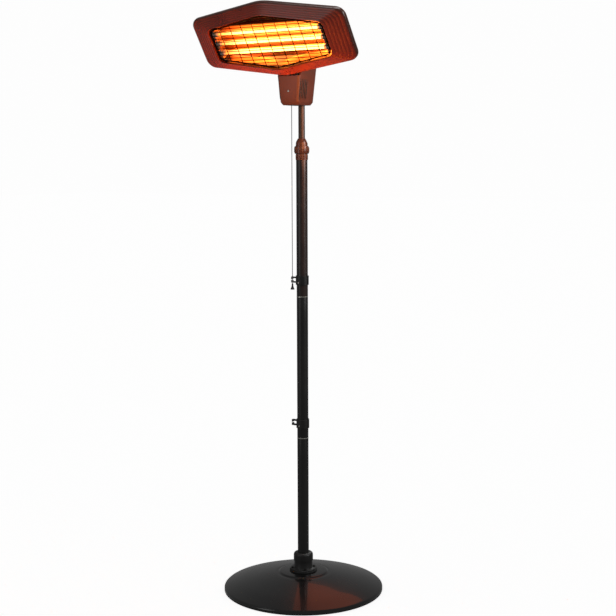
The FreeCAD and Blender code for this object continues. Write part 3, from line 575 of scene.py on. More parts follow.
def wire_tree() -> NodeTree:
    """Parallel grille wires cut to a six-sided opening, with a weld bead at each end.

    Returns:
        The tree, with inputs Wire Radius, Pitch, Number, Longest, Reach, Slope and Turn.
    """
    made = NodeTree(
        "GrilleWires",
        {
            "Wire Radius": float, "Pitch": float, "Number": int, "Longest": float, "Reach": float,
            "Slope": float, "Turn": Vector
        }
    )
    tree, given = made.tree, made.given
    # points stand on a line across the wires, the middle one at the origin
    count_less = add(tree, "ShaderNodeMath", {0: given["Number"], 1: 1.0}, operation="SUBTRACT")
    span = add(tree, "ShaderNodeMath", {0: count_less, 1: given["Pitch"]}, operation="MULTIPLY")
    low = add(tree, "ShaderNodeMath", {0: span, 1: -0.5}, operation="MULTIPLY")
    start = add(tree, "ShaderNodeCombineXYZ", {"Z": low})
    step = add(tree, "ShaderNodeCombineXYZ", {"Z": given["Pitch"]})
    points = add(
        tree, "GeometryNodeMeshLine",
        {"Count": given["Number"], "Start Location": start, "Offset": step}
    )
    place = add(tree, "GeometryNodeInputPosition")
    apart = add(tree, "ShaderNodeSeparateXYZ", {0: place})
    away = add(tree, "ShaderNodeMath", {0: apart.outputs["Z"]}, operation="ABSOLUTE")
    drop = add(tree, "ShaderNodeMath", {0: away, 1: given["Slope"]}, operation="MULTIPLY")
    left = add(tree, "ShaderNodeMath", {0: given["Reach"], 1: drop}, operation="SUBTRACT")
    half = add(tree, "ShaderNodeMath", {0: left, 1: given["Longest"]}, operation="MINIMUM")
    line = add(
        tree, "GeometryNodeCurvePrimitiveLine",
        {"Start": Vector((-1, 0, 0)), "End": Vector((1, 0, 0))}
    )
    section = add(
        tree, "GeometryNodeCurvePrimitiveCircle", {"Resolution": 10, "Radius": given["Wire Radius"]}
    )
    wire = add(
        tree, "GeometryNodeCurveToMesh",
        {"Curve": line, "Profile Curve": section, "Fill Caps": True}
    )
    scale = add(tree, "ShaderNodeCombineXYZ", {"X": half, "Y": 1.0, "Z": 1.0})
    wires = add(
        tree, "GeometryNodeInstanceOnPoints", {"Points": points, "Instance": wire, "Scale": scale}
    )
    bead_size = add(tree, "ShaderNodeMath", {0: given["Wire Radius"], 1: 1.7}, operation="MULTIPLY")
    bead = add(tree, "GeometryNodeMeshIcoSphere", {"Radius": bead_size, "Subdivisions": 2})
    ends = []
    for side in (-1.0, 1.0):
        out = add(tree, "ShaderNodeMath", {0: half, 1: side}, operation="MULTIPLY")
        shift = add(tree, "ShaderNodeCombineXYZ", {"X": out})
        moved = add(tree, "GeometryNodeSetPosition", {"Geometry": points, "Offset": shift})
        ends.append(add(tree, "GeometryNodeInstanceOnPoints", {"Points": moved, "Instance": bead}))
    both = add(tree, "GeometryNodeJoinGeometry", {0: [wires, *ends]})
    turned = add(tree, "GeometryNodeTransform", {"Geometry": both, "Rotation": given["Turn"]})
    made.end(turned)
    return made


def coil_tree() -> NodeTree:
    """A wound resistance coil along x.

    Returns:
        The tree, with inputs Coil Radius, Length, Turns and Wire Radius.
    """
    made = NodeTree(
        "HeatingCoil", {"Coil Radius": float, "Length": float, "Turns": float, "Wire Radius": float}
    )
    tree, given = made.tree, made.given
    spiral = add(
        tree, "GeometryNodeCurveSpiral",
        {
            "Resolution": 10, "Rotations": given["Turns"], "Start Radius": given["Coil Radius"],
            "End Radius": given["Coil Radius"], "Height": given["Length"]
        }
    )
    section = add(
        tree, "GeometryNodeCurvePrimitiveCircle", {"Resolution": 6, "Radius": given["Wire Radius"]}
    )
    wound = add(
        tree, "GeometryNodeCurveToMesh",
        {"Curve": spiral, "Profile Curve": section, "Fill Caps": True}
    )
    back = add(tree, "ShaderNodeMath", {0: given["Length"], 1: -0.5}, operation="MULTIPLY")
    centred = add(tree, "ShaderNodeCombineXYZ", {"X": back})
    laid = add(
        tree, "GeometryNodeTransform",
        {"Geometry": wound, "Translation": centred, "Rotation": (0.0, math.pi / 2, 0.0)}
    )
    made.end(laid)
    return made


def louvre_tree() -> NodeTree:
    """Pressed hoods over cooling slots, one on each seed point.

    Returns:
        The tree, with inputs Hood Length, Hood Height and Hood Depth.
    """
    made = NodeTree(
        "CoolingLouvres", {"Hood Length": float, "Hood Height": float, "Hood Depth": float}
    )
    tree, given = made.tree, made.given
    ball = add(tree, "GeometryNodeMeshUVSphere", {"Segments": 28, "Rings": 14, "Radius": 0.5})
    # a flatter ball has fuller ends, like a pressed hood
    place = add(tree, "GeometryNodeInputPosition")
    apart = add(tree, "ShaderNodeSeparateXYZ", {0: place})
    twice = add(tree, "ShaderNodeMath", {0: apart.outputs["X"], 1: 2.0}, operation="MULTIPLY")
    size = add(tree, "ShaderNodeMath", {0: twice}, operation="ABSOLUTE")
    power = add(tree, "ShaderNodeMath", {0: size, 1: 0.45}, operation="POWER")
    side = add(tree, "ShaderNodeMath", {0: twice}, operation="SIGN")
    full = add(tree, "ShaderNodeMath", {0: power, 1: side}, operation="MULTIPLY")
    half = add(tree, "ShaderNodeMath", {0: full, 1: 0.5}, operation="MULTIPLY")
    moved = add(
        tree, "ShaderNodeCombineXYZ", {"X": half, "Y": apart.outputs["Y"], "Z": apart.outputs["Z"]}
    )
    fuller = add(tree, "GeometryNodeSetPosition", {"Geometry": ball, "Position": moved})
    scale = add(
        tree, "ShaderNodeCombineXYZ",
        {"X": given["Hood Length"], "Y": given["Hood Depth"], "Z": given["Hood Height"]}
    )
    hoods = add(
        tree, "GeometryNodeInstanceOnPoints",
        {"Points": given["Geometry"], "Instance": fuller, "Scale": scale}
    )
    made.end(hoods)
    return made


# ---------------------------------------------------------------- finishes


@dataclass(frozen=True)
class Finish:
    """A surface finish. Each kind fills in the shader of one material."""

    name: str

    def material(self) -> bpy.types.Material:
        """The finish's material, made the first time it is asked for.

        Returns:
            The material.
        """
        found = bpy.data.materials.get(self.name)
        if found:
            return found
        made = bpy.data.materials.new(self.name)
        made.use_nodes = True
        tree = made.node_tree
        tree.nodes.clear()
        shader = add(tree, "ShaderNodeBsdfPrincipled")
        add(tree, "ShaderNodeOutputMaterial", {"Surface": shader})
        place = add(tree, "ShaderNodeTexCoord").outputs["Object"]
        self.fill(tree, shader, place)
        return made

    def fill(self, tree: Tree, shader: Node, place: Socket) -> None:
        """Set the shader and its textures; each kind of finish has its own."""
        raise NotImplementedError


@dataclass(frozen=True)
class PaintedSteel(Finish):
    """Sprayed and baked paint on pressed or drawn steel.

    Paint flows a little before it sets, so its gloss breaks up in a fine orange-peel
    ripple, and handling leaves slightly duller patches and a few pale specks of dust.
    """

    colour: str
    rubbed: str
    roughness: float
    roughness_spread: float
    peel_mm: float
    peel_depth_mm: float
    clear_coat: float = 0.0
    coat_roughness: float = 0.05

    def fill(self, tree: Tree, shader: Node, place: Socket) -> None:
        """Fill in the painted surface.

        Args:
            tree: The material's tree.
            shader: Its shader node.
            place: Object coordinates.
        """
        cloud = add(
            tree, "ShaderNodeTexNoise",
            {"Vector": place, "Scale": per_metre(70), "Detail": 4.0, "Roughness": 0.6}
        )
        patch = add(
            tree, "ShaderNodeMapRange", {"Value": cloud, "From Min": 0.42, "From Max": 0.68}
        )
        tint = add(
            tree, "ShaderNodeMix", {0: patch, 6: linear(self.colour), 7: linear(self.rubbed)},
            data_type="RGBA"
        )
        dust = add(
            tree, "ShaderNodeTexNoise", {"Vector": place, "Scale": per_metre(1.6), "Detail": 1.0}
        )
        speck = add(
            tree, "ShaderNodeMapRange",
            {"Value": dust, "From Min": 0.70, "From Max": 0.80, "To Max": 0.35}
        )
        dusty = add(
            tree, "ShaderNodeMix", {0: speck, 6: tint.outputs[2], 7: linear("#5A5652")},
            data_type="RGBA"
        )
        gloss = add(
            tree, "ShaderNodeMapRange",
            {
                "Value": cloud, "From Min": 0.3, "From Max": 0.7,
                "To Min": self.roughness - self.roughness_spread,
                "To Max": self.roughness + self.roughness_spread
            }
        )
        ripple = add(
            tree, "ShaderNodeTexNoise",
            {"Vector": place, "Scale": per_metre(self.peel_mm), "Detail": 2.0}
        )
        bump = add(
            tree, "ShaderNodeBump",
            {"Height": ripple, "Distance": self.peel_depth_mm * MM, "Strength": 1.0}
        )
        settle(
            tree, shader,
            {
                "Base Color": dusty.outputs[2], "Roughness": gloss, "Normal": bump, "IOR": 1.5,
                "Coat Weight": self.clear_coat, "Coat Roughness": self.coat_roughness
            }
        )


@dataclass(frozen=True)
class Moulded(Finish):
    """Injection-moulded plastic or rubber with a spark-eroded grain.

    The mould's texture scatters light evenly, so it looks soft and slightly greyer at
    grazing angles, with faint flow marks where the melt ran.
    """

    colour: str
    flow: str
    roughness: float
    grain_mm: float
    grain_depth_mm: float
    ior: float = 1.5

    def fill(self, tree: Tree, shader: Node, place: Socket) -> None:
        """Fill in the moulded surface.

        Args:
            tree: The material's tree.
            shader: Its shader node.
            place: Object coordinates.
        """
        stretched = add(
            tree, "ShaderNodeMapping", {"Vector": place, "Scale": Vector((1.0, 1.0, 0.25))}
        )
        flow = add(
            tree, "ShaderNodeTexNoise",
            {"Vector": stretched, "Scale": per_metre(9), "Detail": 5.0, "Distortion": 0.6}
        )
        tint = add(
            tree, "ShaderNodeMix", {0: flow, 6: linear(self.colour), 7: linear(self.flow)},
            data_type="RGBA"
        )
        grain = add(
            tree, "ShaderNodeTexVoronoi",
            {"Vector": place, "Scale": per_metre(self.grain_mm), "Smoothness": 0.6},
            feature="SMOOTH_F1"
        )
        gloss = add(
            tree, "ShaderNodeMapRange",
            {
                "Value": flow, "From Min": 0.3, "From Max": 0.7, "To Min": self.roughness - 0.05,
                "To Max": self.roughness + 0.07
            }
        )
        bump = add(
            tree, "ShaderNodeBump",
            {"Height": grain, "Distance": self.grain_depth_mm * MM, "Strength": 1.0}
        )
        settle(
            tree, shader,
            {"Base Color": tint.outputs[2], "Roughness": gloss, "Normal": bump, "IOR": self.ior}
        )


@dataclass(frozen=True)
class BareMetal(Finish):
    """Plated, drawn or rolled metal with no paint on it.

    Drawing and rolling leave fine streaks along the metal, so reflections smear one way,
    and plating or heat gives it slow changes of tint.
    """

    colour: str
    tint: str
    roughness: float
    streak_mm: float
    streak_depth_mm: float
    along: tuple[float, float, float] = (0.03, 1.0, 1.0)

    def fill(self, tree: Tree, shader: Node, place: Socket) -> None:
        """Fill in the metal surface.

        Args:
            tree: The material's tree.
            shader: Its shader node.
            place: Object coordinates.
        """
        drawn = add(tree, "ShaderNodeMapping", {"Vector": place, "Scale": Vector(self.along)})
        streak = add(
            tree, "ShaderNodeTexNoise",
            {"Vector": drawn, "Scale": per_metre(self.streak_mm), "Detail": 3.0}
        )
        stain = add(
            tree, "ShaderNodeTexNoise", {"Vector": place, "Scale": per_metre(35), "Detail": 3.0}
        )
        tint = add(
            tree, "ShaderNodeMix", {0: stain, 6: linear(self.colour), 7: linear(self.tint)},
            data_type="RGBA"
        )
        gloss = add(
            tree, "ShaderNodeMapRange",
            {
                "Value": streak, "From Min": 0.3, "From Max": 0.7, "To Min": self.roughness * 0.75,
                "To Max": self.roughness * 1.3
            }
        )
        bump = add(
            tree, "ShaderNodeBump",
            {"Height": streak, "Distance": self.streak_depth_mm * MM, "Strength": 1.0}
        )
        settle(
            tree, shader,
            {"Metallic": 1.0, "Base Color": tint.outputs[2], "Roughness": gloss, "Normal": bump}
        )


@dataclass(frozen=True)
class MetalWithPaintedShade(BareMetal):
    """Bare metal with painted shade: dark brown above one level of the tilted head."""

    shade_colour: str = "#3A1408"
    tilt_deg: float = 33.4
    start: float = 1.416
    reach: float = 0.010

    def fill(self, tree: Tree, shader: Node, place: Socket) -> None:
        """Fill in the metal and paint shade on its upper part.

        Args:
            tree: The material's tree.
            shader: Its shader node.
            place: Object coordinates.
        """
        super().fill(tree, shader, place)
        # painted shade: dark brown above a level across the tilted head, where the tray's upper
        # wall lies in shade
        tilt = math.radians(self.tilt_deg)
        level = add(
            tree, "ShaderNodeVectorMath", {0: place, 1: (0.0, -math.sin(tilt), math.cos(tilt))},
            operation="DOT_PRODUCT"
        )
        part = add(
            tree, "ShaderNodeMapRange",
            {
                "Value": level.outputs["Value"], "From Min": self.start,
                "From Max": self.start + self.reach
            },
            interpolation_type="SMOOTHSTEP"
        )
        bright = shader.inputs["Base Color"].links[0].from_socket
        mixed = add(
            tree, "ShaderNodeMix", {0: part, 6: bright, 7: linear(self.shade_colour)}, data_type="RGBA"
        )
        settle(tree, shader, {"Base Color": mixed.outputs[2]})


@dataclass(frozen=True)
class SandCast(Finish):
    """Grey iron cast in sand: coarse, matt and pitted, with rust in the hollows."""

    colour: str
    rust: str

    def fill(self, tree: Tree, shader: Node, place: Socket) -> None:
        """Fill in the cast surface.

        Args:
            tree: The material's tree.
            shader: Its shader node.
            place: Object coordinates.
        """
        sand = add(
            tree, "ShaderNodeTexNoise", {"Vector": place, "Scale": per_metre(1.8), "Detail": 6.0}
        )
        rusty = add(
            tree, "ShaderNodeTexNoise", {"Vector": place, "Scale": per_metre(28), "Detail": 5.0}
        )
        patch = add(tree, "ShaderNodeMapRange", {"Value": rusty, "From Min": 0.5, "From Max": 0.7})
        tint = add(
            tree, "ShaderNodeMix", {0: patch, 6: linear(self.colour), 7: linear(self.rust)},
            data_type="RGBA"
        )
        bump = add(tree, "ShaderNodeBump", {"Height": sand, "Distance": 0.4 * MM, "Strength": 1.0})
        settle(
            tree, shader,
            {"Base Color": tint.outputs[2], "Normal": bump, "Metallic": 0.55, "Roughness": 0.72}
        )


@dataclass(frozen=True)
class GlowingQuartz(Finish):
    """Drawn tube of clear fused quartz, lit from inside by its coil.

    The glass carries the light, so it looks almost white where the coil is closely wound
    and orange where the turns open out towards the cooler end.
    """

    hot: str
    cool: str
    strength: float
    cool_end_mm: float
    cool_reach_mm: float

    def fill(self, tree: Tree, shader: Node, place: Socket) -> None:
        """Fill in the glowing glass.

        Args:
            tree: The material's tree.
            shader: Its shader node.
            place: Object coordinates.
        """
        apart = add(tree, "ShaderNodeSeparateXYZ", {0: place})
        heat = add(
            tree, "ShaderNodeMapRange",
            {
                "Value": apart.outputs["X"], "From Min": self.cool_end_mm * MM,
                "From Max": (self.cool_end_mm + self.cool_reach_mm) * MM
            },
            interpolation_type="SMOOTHSTEP"
        )
        # the coil's turns show as bands of 6 mm, since the real 3 mm is too fine to see
        band = add(
            tree, "ShaderNodeTexWave",
            {"Vector": place, "Scale": per_metre(6) / (2 * math.pi), "Distortion": 0.4}
        )
        level = add(
            tree, "ShaderNodeMapRange",
            {"Value": heat, "To Min": 0.34 * self.strength, "To Max": self.strength}
        )
        banded = add(
            tree, "ShaderNodeMapRange", {"Value": band.outputs[1], "To Min": 0.8, "To Max": 1.1}
        )
        power = add(tree, "ShaderNodeMath", {0: level, 1: banded}, operation="MULTIPLY")
        tint = add(
            tree, "ShaderNodeMix", {0: heat, 6: linear(self.cool), 7: linear(self.hot)},
            data_type="RGBA"
        )
        settle(
            tree, shader,
            {
                "Emission Color": tint.outputs[2], "Emission Strength": power,
                "Base Color": linear("#FFF1DC"), "Roughness": 0.06, "IOR": 1.458,
                "Transmission Weight": 0.65
            }
        )


@dataclass(frozen=True)
class GlowingWire(Finish):
    """Resistance wire at working heat, with a dark oxide skin where it runs cooler."""

    hot: str
    strength: float

    def fill(self, tree: Tree, shader: Node, place: Socket) -> None:
        """Fill in the hot wire.

        Args:
            tree: The material's tree.
            shader: Its shader node.
            place: Object coordinates.
        """
        oxide = add(
            tree, "ShaderNodeTexNoise", {"Vector": place, "Scale": per_metre(4), "Detail": 2.0}
        )
        level = add(
            tree, "ShaderNodeMapRange",
            {
                "Value": oxide, "From Min": 0.3, "From Max": 0.7, "To Min": 0.7 * self.strength,
                "To Max": 1.2 * self.strength
            }
        )
        settle(
            tree, shader,
            {
                "Emission Strength": level, "Emission Color": linear(self.hot),
                "Base Color": linear("#3A2A20"), "Metallic": 1.0, "Roughness": 0.6
            }
        )


@dataclass(frozen=True)
class Ceramic(Finish):
    """Pressed and fired steatite: off-white, dense, slightly chalky, with grey firing specks."""

    colour: str
    speck: str

    def fill(self, tree: Tree, shader: Node, place: Socket) -> None:
        """Fill in the fired surface.

        Args:
            tree: The material's tree.
            shader: Its shader node.
            place: Object coordinates.
        """
        fired = add(
            tree, "ShaderNodeTexNoise", {"Vector": place, "Scale": per_metre(1.2), "Detail": 3.0}
        )
        speck = add(
            tree, "ShaderNodeMapRange", {"Value": fired, "From Min": 0.62, "From Max": 0.72}
        )
        tint = add(
            tree, "ShaderNodeMix", {0: speck, 6: linear(self.colour), 7: linear(self.speck)},
            data_type="RGBA"
        )
        bump = add(
            tree, "ShaderNodeBump", {"Height": fired, "Distance": 0.05 * MM, "Strength": 1.0}
        )
        settle(
            tree, shader,
            {"Base Color": tint.outputs[2], "Normal": bump, "Roughness": 0.5, "IOR": 1.6}
        )


@dataclass(frozen=True)
class Braid(Finish):
    """Braided nylon cord: two sets of strands that cross, so it looks finely chequered."""

    colour: str
    shadow: str
    strand_mm: float

    def fill(self, tree: Tree, shader: Node, place: Socket) -> None:
        """Fill in the braid.

        Args:
            tree: The material's tree.
            shader: Its shader node.
            place: Object coordinates.
        """
        waves = []
        for turn in (0.9, -0.9):
            turned = add(
                tree, "ShaderNodeMapping", {"Vector": place, "Rotation": Vector((turn, turn, 0.0))}
            )
            waves.append(
                add(
                    tree,
                    "ShaderNodeTexWave",
                    {"Vector": turned, "Scale": per_metre(self.strand_mm) / (2 * math.pi)},
                    bands_direction="Z",
                ).outputs[1]
            )
        crossing = add(tree, "ShaderNodeMath", {0: waves[0], 1: waves[1]}, operation="MULTIPLY")
        tint = add(
            tree, "ShaderNodeMix", {0: crossing, 6: linear(self.shadow), 7: linear(self.colour)},
            data_type="RGBA"
        )
        bump = add(
            tree, "ShaderNodeBump", {"Height": crossing, "Distance": 0.15 * MM, "Strength": 1.0}
        )
        settle(
            tree, shader,
            {"Base Color": tint.outputs[2], "Normal": bump, "Roughness": 0.75, "Sheen Weight": 0.3}
        )


# Satin black powder coat on the drawn pole tubes: a tight 1 mm ripple, soft highlights.
POWDER = PaintedSteel("powder_coat_black", "#171616", "#1D1C1B", 0.36, 0.05, 1.1, 0.012)
# Stoved gloss enamel on the pressed base: mirror-like with a slow ripple, so lamps show in it.
BASE_GLOSS = PaintedSteel(
    "stoved_gloss_enamel", "#101111", "#171717", 0.24, 0.05, 3.0, 0.006, 0.7, 0.07
)
# Heat-resisting enamel on the head: semi-gloss, catches long highlights; its black-brown colour is
# painted warm glow of the tubes on black enamel.
HEAD_ENAMEL_PAINTED_GLOW = PaintedSteel(
    "heat_enamel_black_brown", "#3E180A", "#481F0E", 0.30, 0.05, 2.2, 0.008, 0.25, 0.12
)
# Glass-filled nylon mouldings: nearly black, fine sparked grain, soft sheen.
NYLON = Moulded("glass_filled_nylon_black", "#131212", "#1C1B1A", 0.42, 0.7, 0.02)
# The neck's mouldings are the same black nylon, with the tubes' warm glow painted into their colour
# as brown.
NECK_NYLON_PAINTED_GLOW = Moulded("glass_filled_nylon_brown_black", "#48291E", "#54342A", 0.40, 0.7, 0.02)
# The lock collar is polished where hands turn it, so its nose shows narrow highlights; its dark
# brown is painted warm glow on black nylon.
LOCK_NYLON = Moulded("hand_polished_nylon", "#2E1D17", "#3A261E", 0.22, 0.7, 0.012)
# Phenolic switch case: ivory with darker flow, low gloss.
PHENOLIC = Moulded("moulded_phenolic_ivory", "#CFC6B0", "#B9AD93", 0.45, 1.2, 0.015, 1.6)
# Rubber trim and feet: deep matt black.
RUBBER = Moulded("matt_nitrile_rubber", "#0E0E0E", "#151515", 0.8, 1.0, 0.04, 1.52)
# Cast iron of the hidden weight: coarse grey skin with rust in its hollows.
IRON = SandCast("sand_cast_iron", "#3A3938", "#5A3A28")
# Bright zinc plate with its faint blue and straw tints.
ZINC = BareMetal("bright_zinc_plate", "#C9CCD0", "#C6BFA8", 0.26, 0.5, 0.004)
# Drawn spring wire: plain grey with fine lengthwise streaks.
SPRING_WIRE = BareMetal("drawn_spring_wire", "#9A9A98", "#86847F", 0.3, 0.3, 0.002)
# Grille wire blackened by heat: matt brown-grey oxide, no shine.
OXIDE_WIRE = BareMetal("heat_blackened_wire", "#2E1B12", "#3C2417", 0.5, 0.6, 0.01)
# Black oxide on small screws: dark grey steel with a faint sheen.
BLACK_OXIDE = BareMetal("black_oxide_steel", "#1D1C1B", "#282421", 0.42, 0.5, 0.006)
# Rolled and brightened aluminium with soft reflections: its orange is painted glow of the tubes,
# and the brown above the top tube is painted shade.
ALUMINIUM_PAINTED_GLOW = MetalWithPaintedShade("brightened_rolled_aluminium", "#F4B070", "#EEA058", 0.36, 0.9, 0.02)
# Mill-finish aluminium of the heat shield: pale and softly streaked.
COOL_ALUMINIUM = BareMetal("mill_finish_aluminium", "#C8C8C6", "#B8B4AC", 0.34, 0.9, 0.01)
# Quartz tubes at working heat: yellow-white, orange at their cooler end.
QUARTZ = GlowingQuartz("fused_quartz_tube", "#FFC46A", "#FF7A1E", 2.1, -178.0, 95.0)
# The coils themselves: bright orange through the glass.
HOT_COIL = GlowingWire("hot_resistance_wire", "#FF9A3C", 5.0)
# Steatite end caps and terminal block: chalky off-white with grey specks.
STEATITE = Ceramic("fired_steatite", "#DAD3C4", "#A89F8E")
# Braided nylon of the pull cord: neutral grey, finely chequered.
GREY_BRAID = Braid("braided_nylon_grey", "#8C8C8C", "#5E5E5E", 0.9)


# ---------------------------------------------------------------- studio


@dataclass
class Studio:
    """Camera, floor and lights. Lengths in metres."""

    turn_deg: float = 34.8
    distance: float = 3.588
    side_step: float = 0.0055
    height: float = 1.2512
    pitch_deg: float = 6.81
    yaw_deg: float = 0.168
    roll_deg: float = -0.2
    lens_mm: float = 74.2
    floor_reach: float = 30.0

    def directions(self) -> tuple[Vector, Vector]:
        """The camera's level right and away directions."""
        turn = math.radians(self.turn_deg)
        return (
            Vector((math.cos(turn), math.sin(turn), 0.0)),
            Vector((-math.sin(turn), math.cos(turn), 0.0))
        )

    def camera(self) -> None:
        """Stand the camera where it looks down at the heater from front right."""
        right, away = self.directions()
        data = bpy.data.cameras.new("StudioCamera")
        data.lens = self.lens_mm
        data.sensor_width = 36.0
        data.clip_end = 200.0
        made = linked("StudioCamera", data)
        look = away + right * math.tan(math.radians(self.yaw_deg))
        look.z = -look.length * math.tan(math.radians(self.pitch_deg))
        facing = look.to_track_quat("-Z", "Y").to_matrix().to_4x4()
        roll = Matrix.Rotation(math.radians(self.roll_deg), 4, "Z")
        spot = -away * self.distance + right * self.side_step + Vector((0, 0, self.height))
        made.matrix_world = Matrix.Translation(spot) @ facing @ roll
        bpy.context.scene.camera = made

    def paper(self) -> None:
        """Lay the plain pale floor, which neither tints nor mirrors in the heater."""
        far = self.floor_reach
        floor = from_faces(
            "studio_floor",
            [
                Vector((-far, -far, 0)), Vector((far, -far, 0)), Vector((far, far, 0)),
                Vector((-far, far, 0))
            ],
            [(0, 1, 2, 3)]
        )
        made = bpy.data.materials.new("studio_paper")
        made.use_nodes = True
        tree = made.node_tree
        shader = tree.nodes["Principled BSDF"]
        settle(
            tree, shader,
            {
                "Base Color": linear("#FAFAFA"), "Roughness": 1.0, "Specular IOR Level": 0.0,
                "Emission Color": linear("#FFFFFF"), "Emission Strength": 0.835
            }
        )
        floor.data.materials.append(made)
        floor.visible_diffuse = False
        floor.visible_glossy = False
        self.floor = floor

    def sky(self) -> None:
        """White surround for the eye, and a dimmer even light on the heater."""
        world = bpy.data.worlds.new("StudioWhite")
        bpy.context.scene.world = world
        world.use_nodes = True
        tree = world.node_tree
        tree.nodes.clear()
        path = add(tree, "ShaderNodeLightPath")
        seen = add(tree, "ShaderNodeBackground", {"Color": (1, 1, 1, 1), "Strength": 0.985})
        felt = add(tree, "ShaderNodeBackground", {"Color": (1, 1, 1, 1), "Strength": 0.16})
        both = add(
            tree, "ShaderNodeMixShader", {0: path.outputs["Is Camera Ray"], 1: felt, 2: seen}
        )
        add(tree, "ShaderNodeOutputWorld", {"Surface": both})

    def lamp(
        self, name: str, spot: Vector, target: Vector, size: tuple[float, float], power: float,
        colour: str = "#FFFFFF", skips: Sequence[str] = (), only: Sequence[str] = (),
        mirrored: bool = True
    ) -> None:
        """Hang one rectangular soft light.

        Args:
            name: The light's name.
            spot: Where it hangs.
            target: The point that it faces.
            size: Its width and height.
            power: Its power in watts.
            colour: Its colour.
            skips: Starts of the names of the objects that it leaves unlit, besides the floor.
            only: Starts of the names of the only objects that it lights, if any.
            mirrored: Whether shiny surfaces show it.
        """
        data = bpy.data.lights.new(name, "AREA")
        data.shape = "RECTANGLE"
        data.size, data.size_y = size
        data.energy = power
        data.color = linear(colour)[:3]
        made = linked(name, data)
        made.matrix_world = Matrix.Translation(spot) @ (
            target - spot
        ).to_track_quat("-Z", "Y").to_matrix().to_4x4()
        made.visible_camera = False
        made.visible_glossy = mirrored
        state = "INCLUDE" if only else "EXCLUDE"
        picked = tuple(only) or (self.floor.name, *skips)
        group = bpy.data.collections.new(name + "_receivers")
        for other in bpy.context.scene.objects:
            if other.type == "MESH" and other.name.startswith(picked):
                group.objects.link(other)
        for entry in group.collection_objects:
            entry.light_linking.link_state = state
        made.light_linking.receiver_collection = group

    def build(self) -> None:
        """Set up the camera, the floor and the surround."""
        bpy.context.scene.view_settings.view_transform = "Standard"
        self.camera()
        self.paper()
        self.sky()

    def softboxes(self) -> None:
        """Hang the four white softboxes round the finished heater."""
        right, away = self.directions()
        up = Vector((0, 0, 1))
        middle = up * 0.9
        for name, spot, size, power, skips in (
            ("key_softbox", right * 2.2 - away * 1.2 + up * 2.1, (0.7, 2.2), 34, ("base_cover",)),
            ("fill_softbox", -right * 2.4 - away * 1.6 + up * 1.4, (1.0, 2.4), 10, ()),
            ("rim_softbox", right * 1.2 + away * 2.4 + up * 2.2, (1.6, 1.6), 18, ("base_cover",)),
            ("top_softbox", up * 3.4 - away * 0.4, (1.4, 1.4), 22, ("base_cover",))
        ):
            self.lamp(name, spot, middle, size, power, skips=skips)


# ---------------------------------------------------------------- pull cord


@dataclass
class PullCord:
    """The switch's pull cord, its knot and its bell. Lengths in millimetres."""

    ahead: float = 48.0
    top: float = 1398.0
    length: float = 504.0
    radius: float = 1.0
    knot_above_end: float = 23.0
    knot_radius: float = 2.3
    knot_yarn: float = 0.75
    bell_radius: float = 5.6
    bell_neck: float = 2.4
    bell_height: float = 17.0

    def build(self) -> None:
        """Hang the cord, knot and bell."""
        low = self.top - self.length
        data = bpy.data.curves.new("pull_cord_braid", "CURVE")
        data.dimensions = "3D"
        data.bevel_depth = self.radius * MM
        data.bevel_resolution = 4
        data.resolution_u = 16
        data.use_fill_caps = True
        spline = data.splines.new("NURBS")
        heights = (self.top, self.top - 12, low + 12, low)
        spline.points.add(len(heights) - 1)
        for point, height in zip(spline.points, heights):
            point.co = (0.0, -self.ahead * MM, height * MM, 1.0)
        spline.order_u = 3
        spline.use_endpoint_u = True
        cord = linked("pull_cord_braid", data)
        knot = self.knot()
        bell = self.bell(low)
        hand_over(cord, Body.PULL, Slot.CORD, GREY_BRAID, "pull_cord")
        hand_over(knot, Body.PULL, Slot.CORD, GREY_BRAID, "cord_knot")
        hand_over(bell, Body.PULL, Slot.NYLON, NYLON, "cord_bell")

    def knot(self) -> Thing:
        """Tie the stop knot: a small overhand knot pulled tight."""
        middle = Vector((0, -self.ahead, self.top - self.length + self.knot_above_end))
        up = Vector((0, 0, 1))
        rings = []
        steps, reach = 40, self.knot_radius - self.knot_yarn
        for i in range(steps):
            turn = 4 * math.pi * i / steps
            lift = 0.9 * math.sin(turn * 1.5)
            out = reach * (0.72 + 0.28 * math.cos(turn * 1.5))
            centre = Vector((out * math.cos(turn), out * math.sin(turn), lift))
            ring = []
            for k in range(8):
                bend = 2 * math.pi * k / 8
                side = Vector((math.cos(turn), math.sin(turn), 0)) * math.cos(bend)
                ring.append((centre + (side + up * math.sin(bend)) * self.knot_yarn + middle) * MM)
            rings.append(ring)
        return skin("pull_cord_knot", rings, loop=True)

    def bell(self, low: float) -> Thing:
        """Turn the bell-shaped pull on the cord's end."""
        base = low + 3 - self.bell_height
        wide, neck = self.bell_radius, self.bell_neck
        outline = [(0.0, base + 2.0), (wide - 1.2, base + 1.4), (wide - 0.6, base)]
        outline += eased(
            [
                (wide, base + 0.7), (wide * 0.93, base + 2.6), (wide * 0.62, base + 6.4),
                (neck + 0.3, base + 9.4), (neck, base + 12.0), (neck, base + self.bell_height - 0.8)
            ],
            5
        )
        outline += [(neck - 0.5, base + self.bell_height), (0.0, base + self.bell_height)]
        return lathe("pull_cord_bell", outline, 32, (0.0, -self.ahead))


# ---------------------------------------------------------------- base


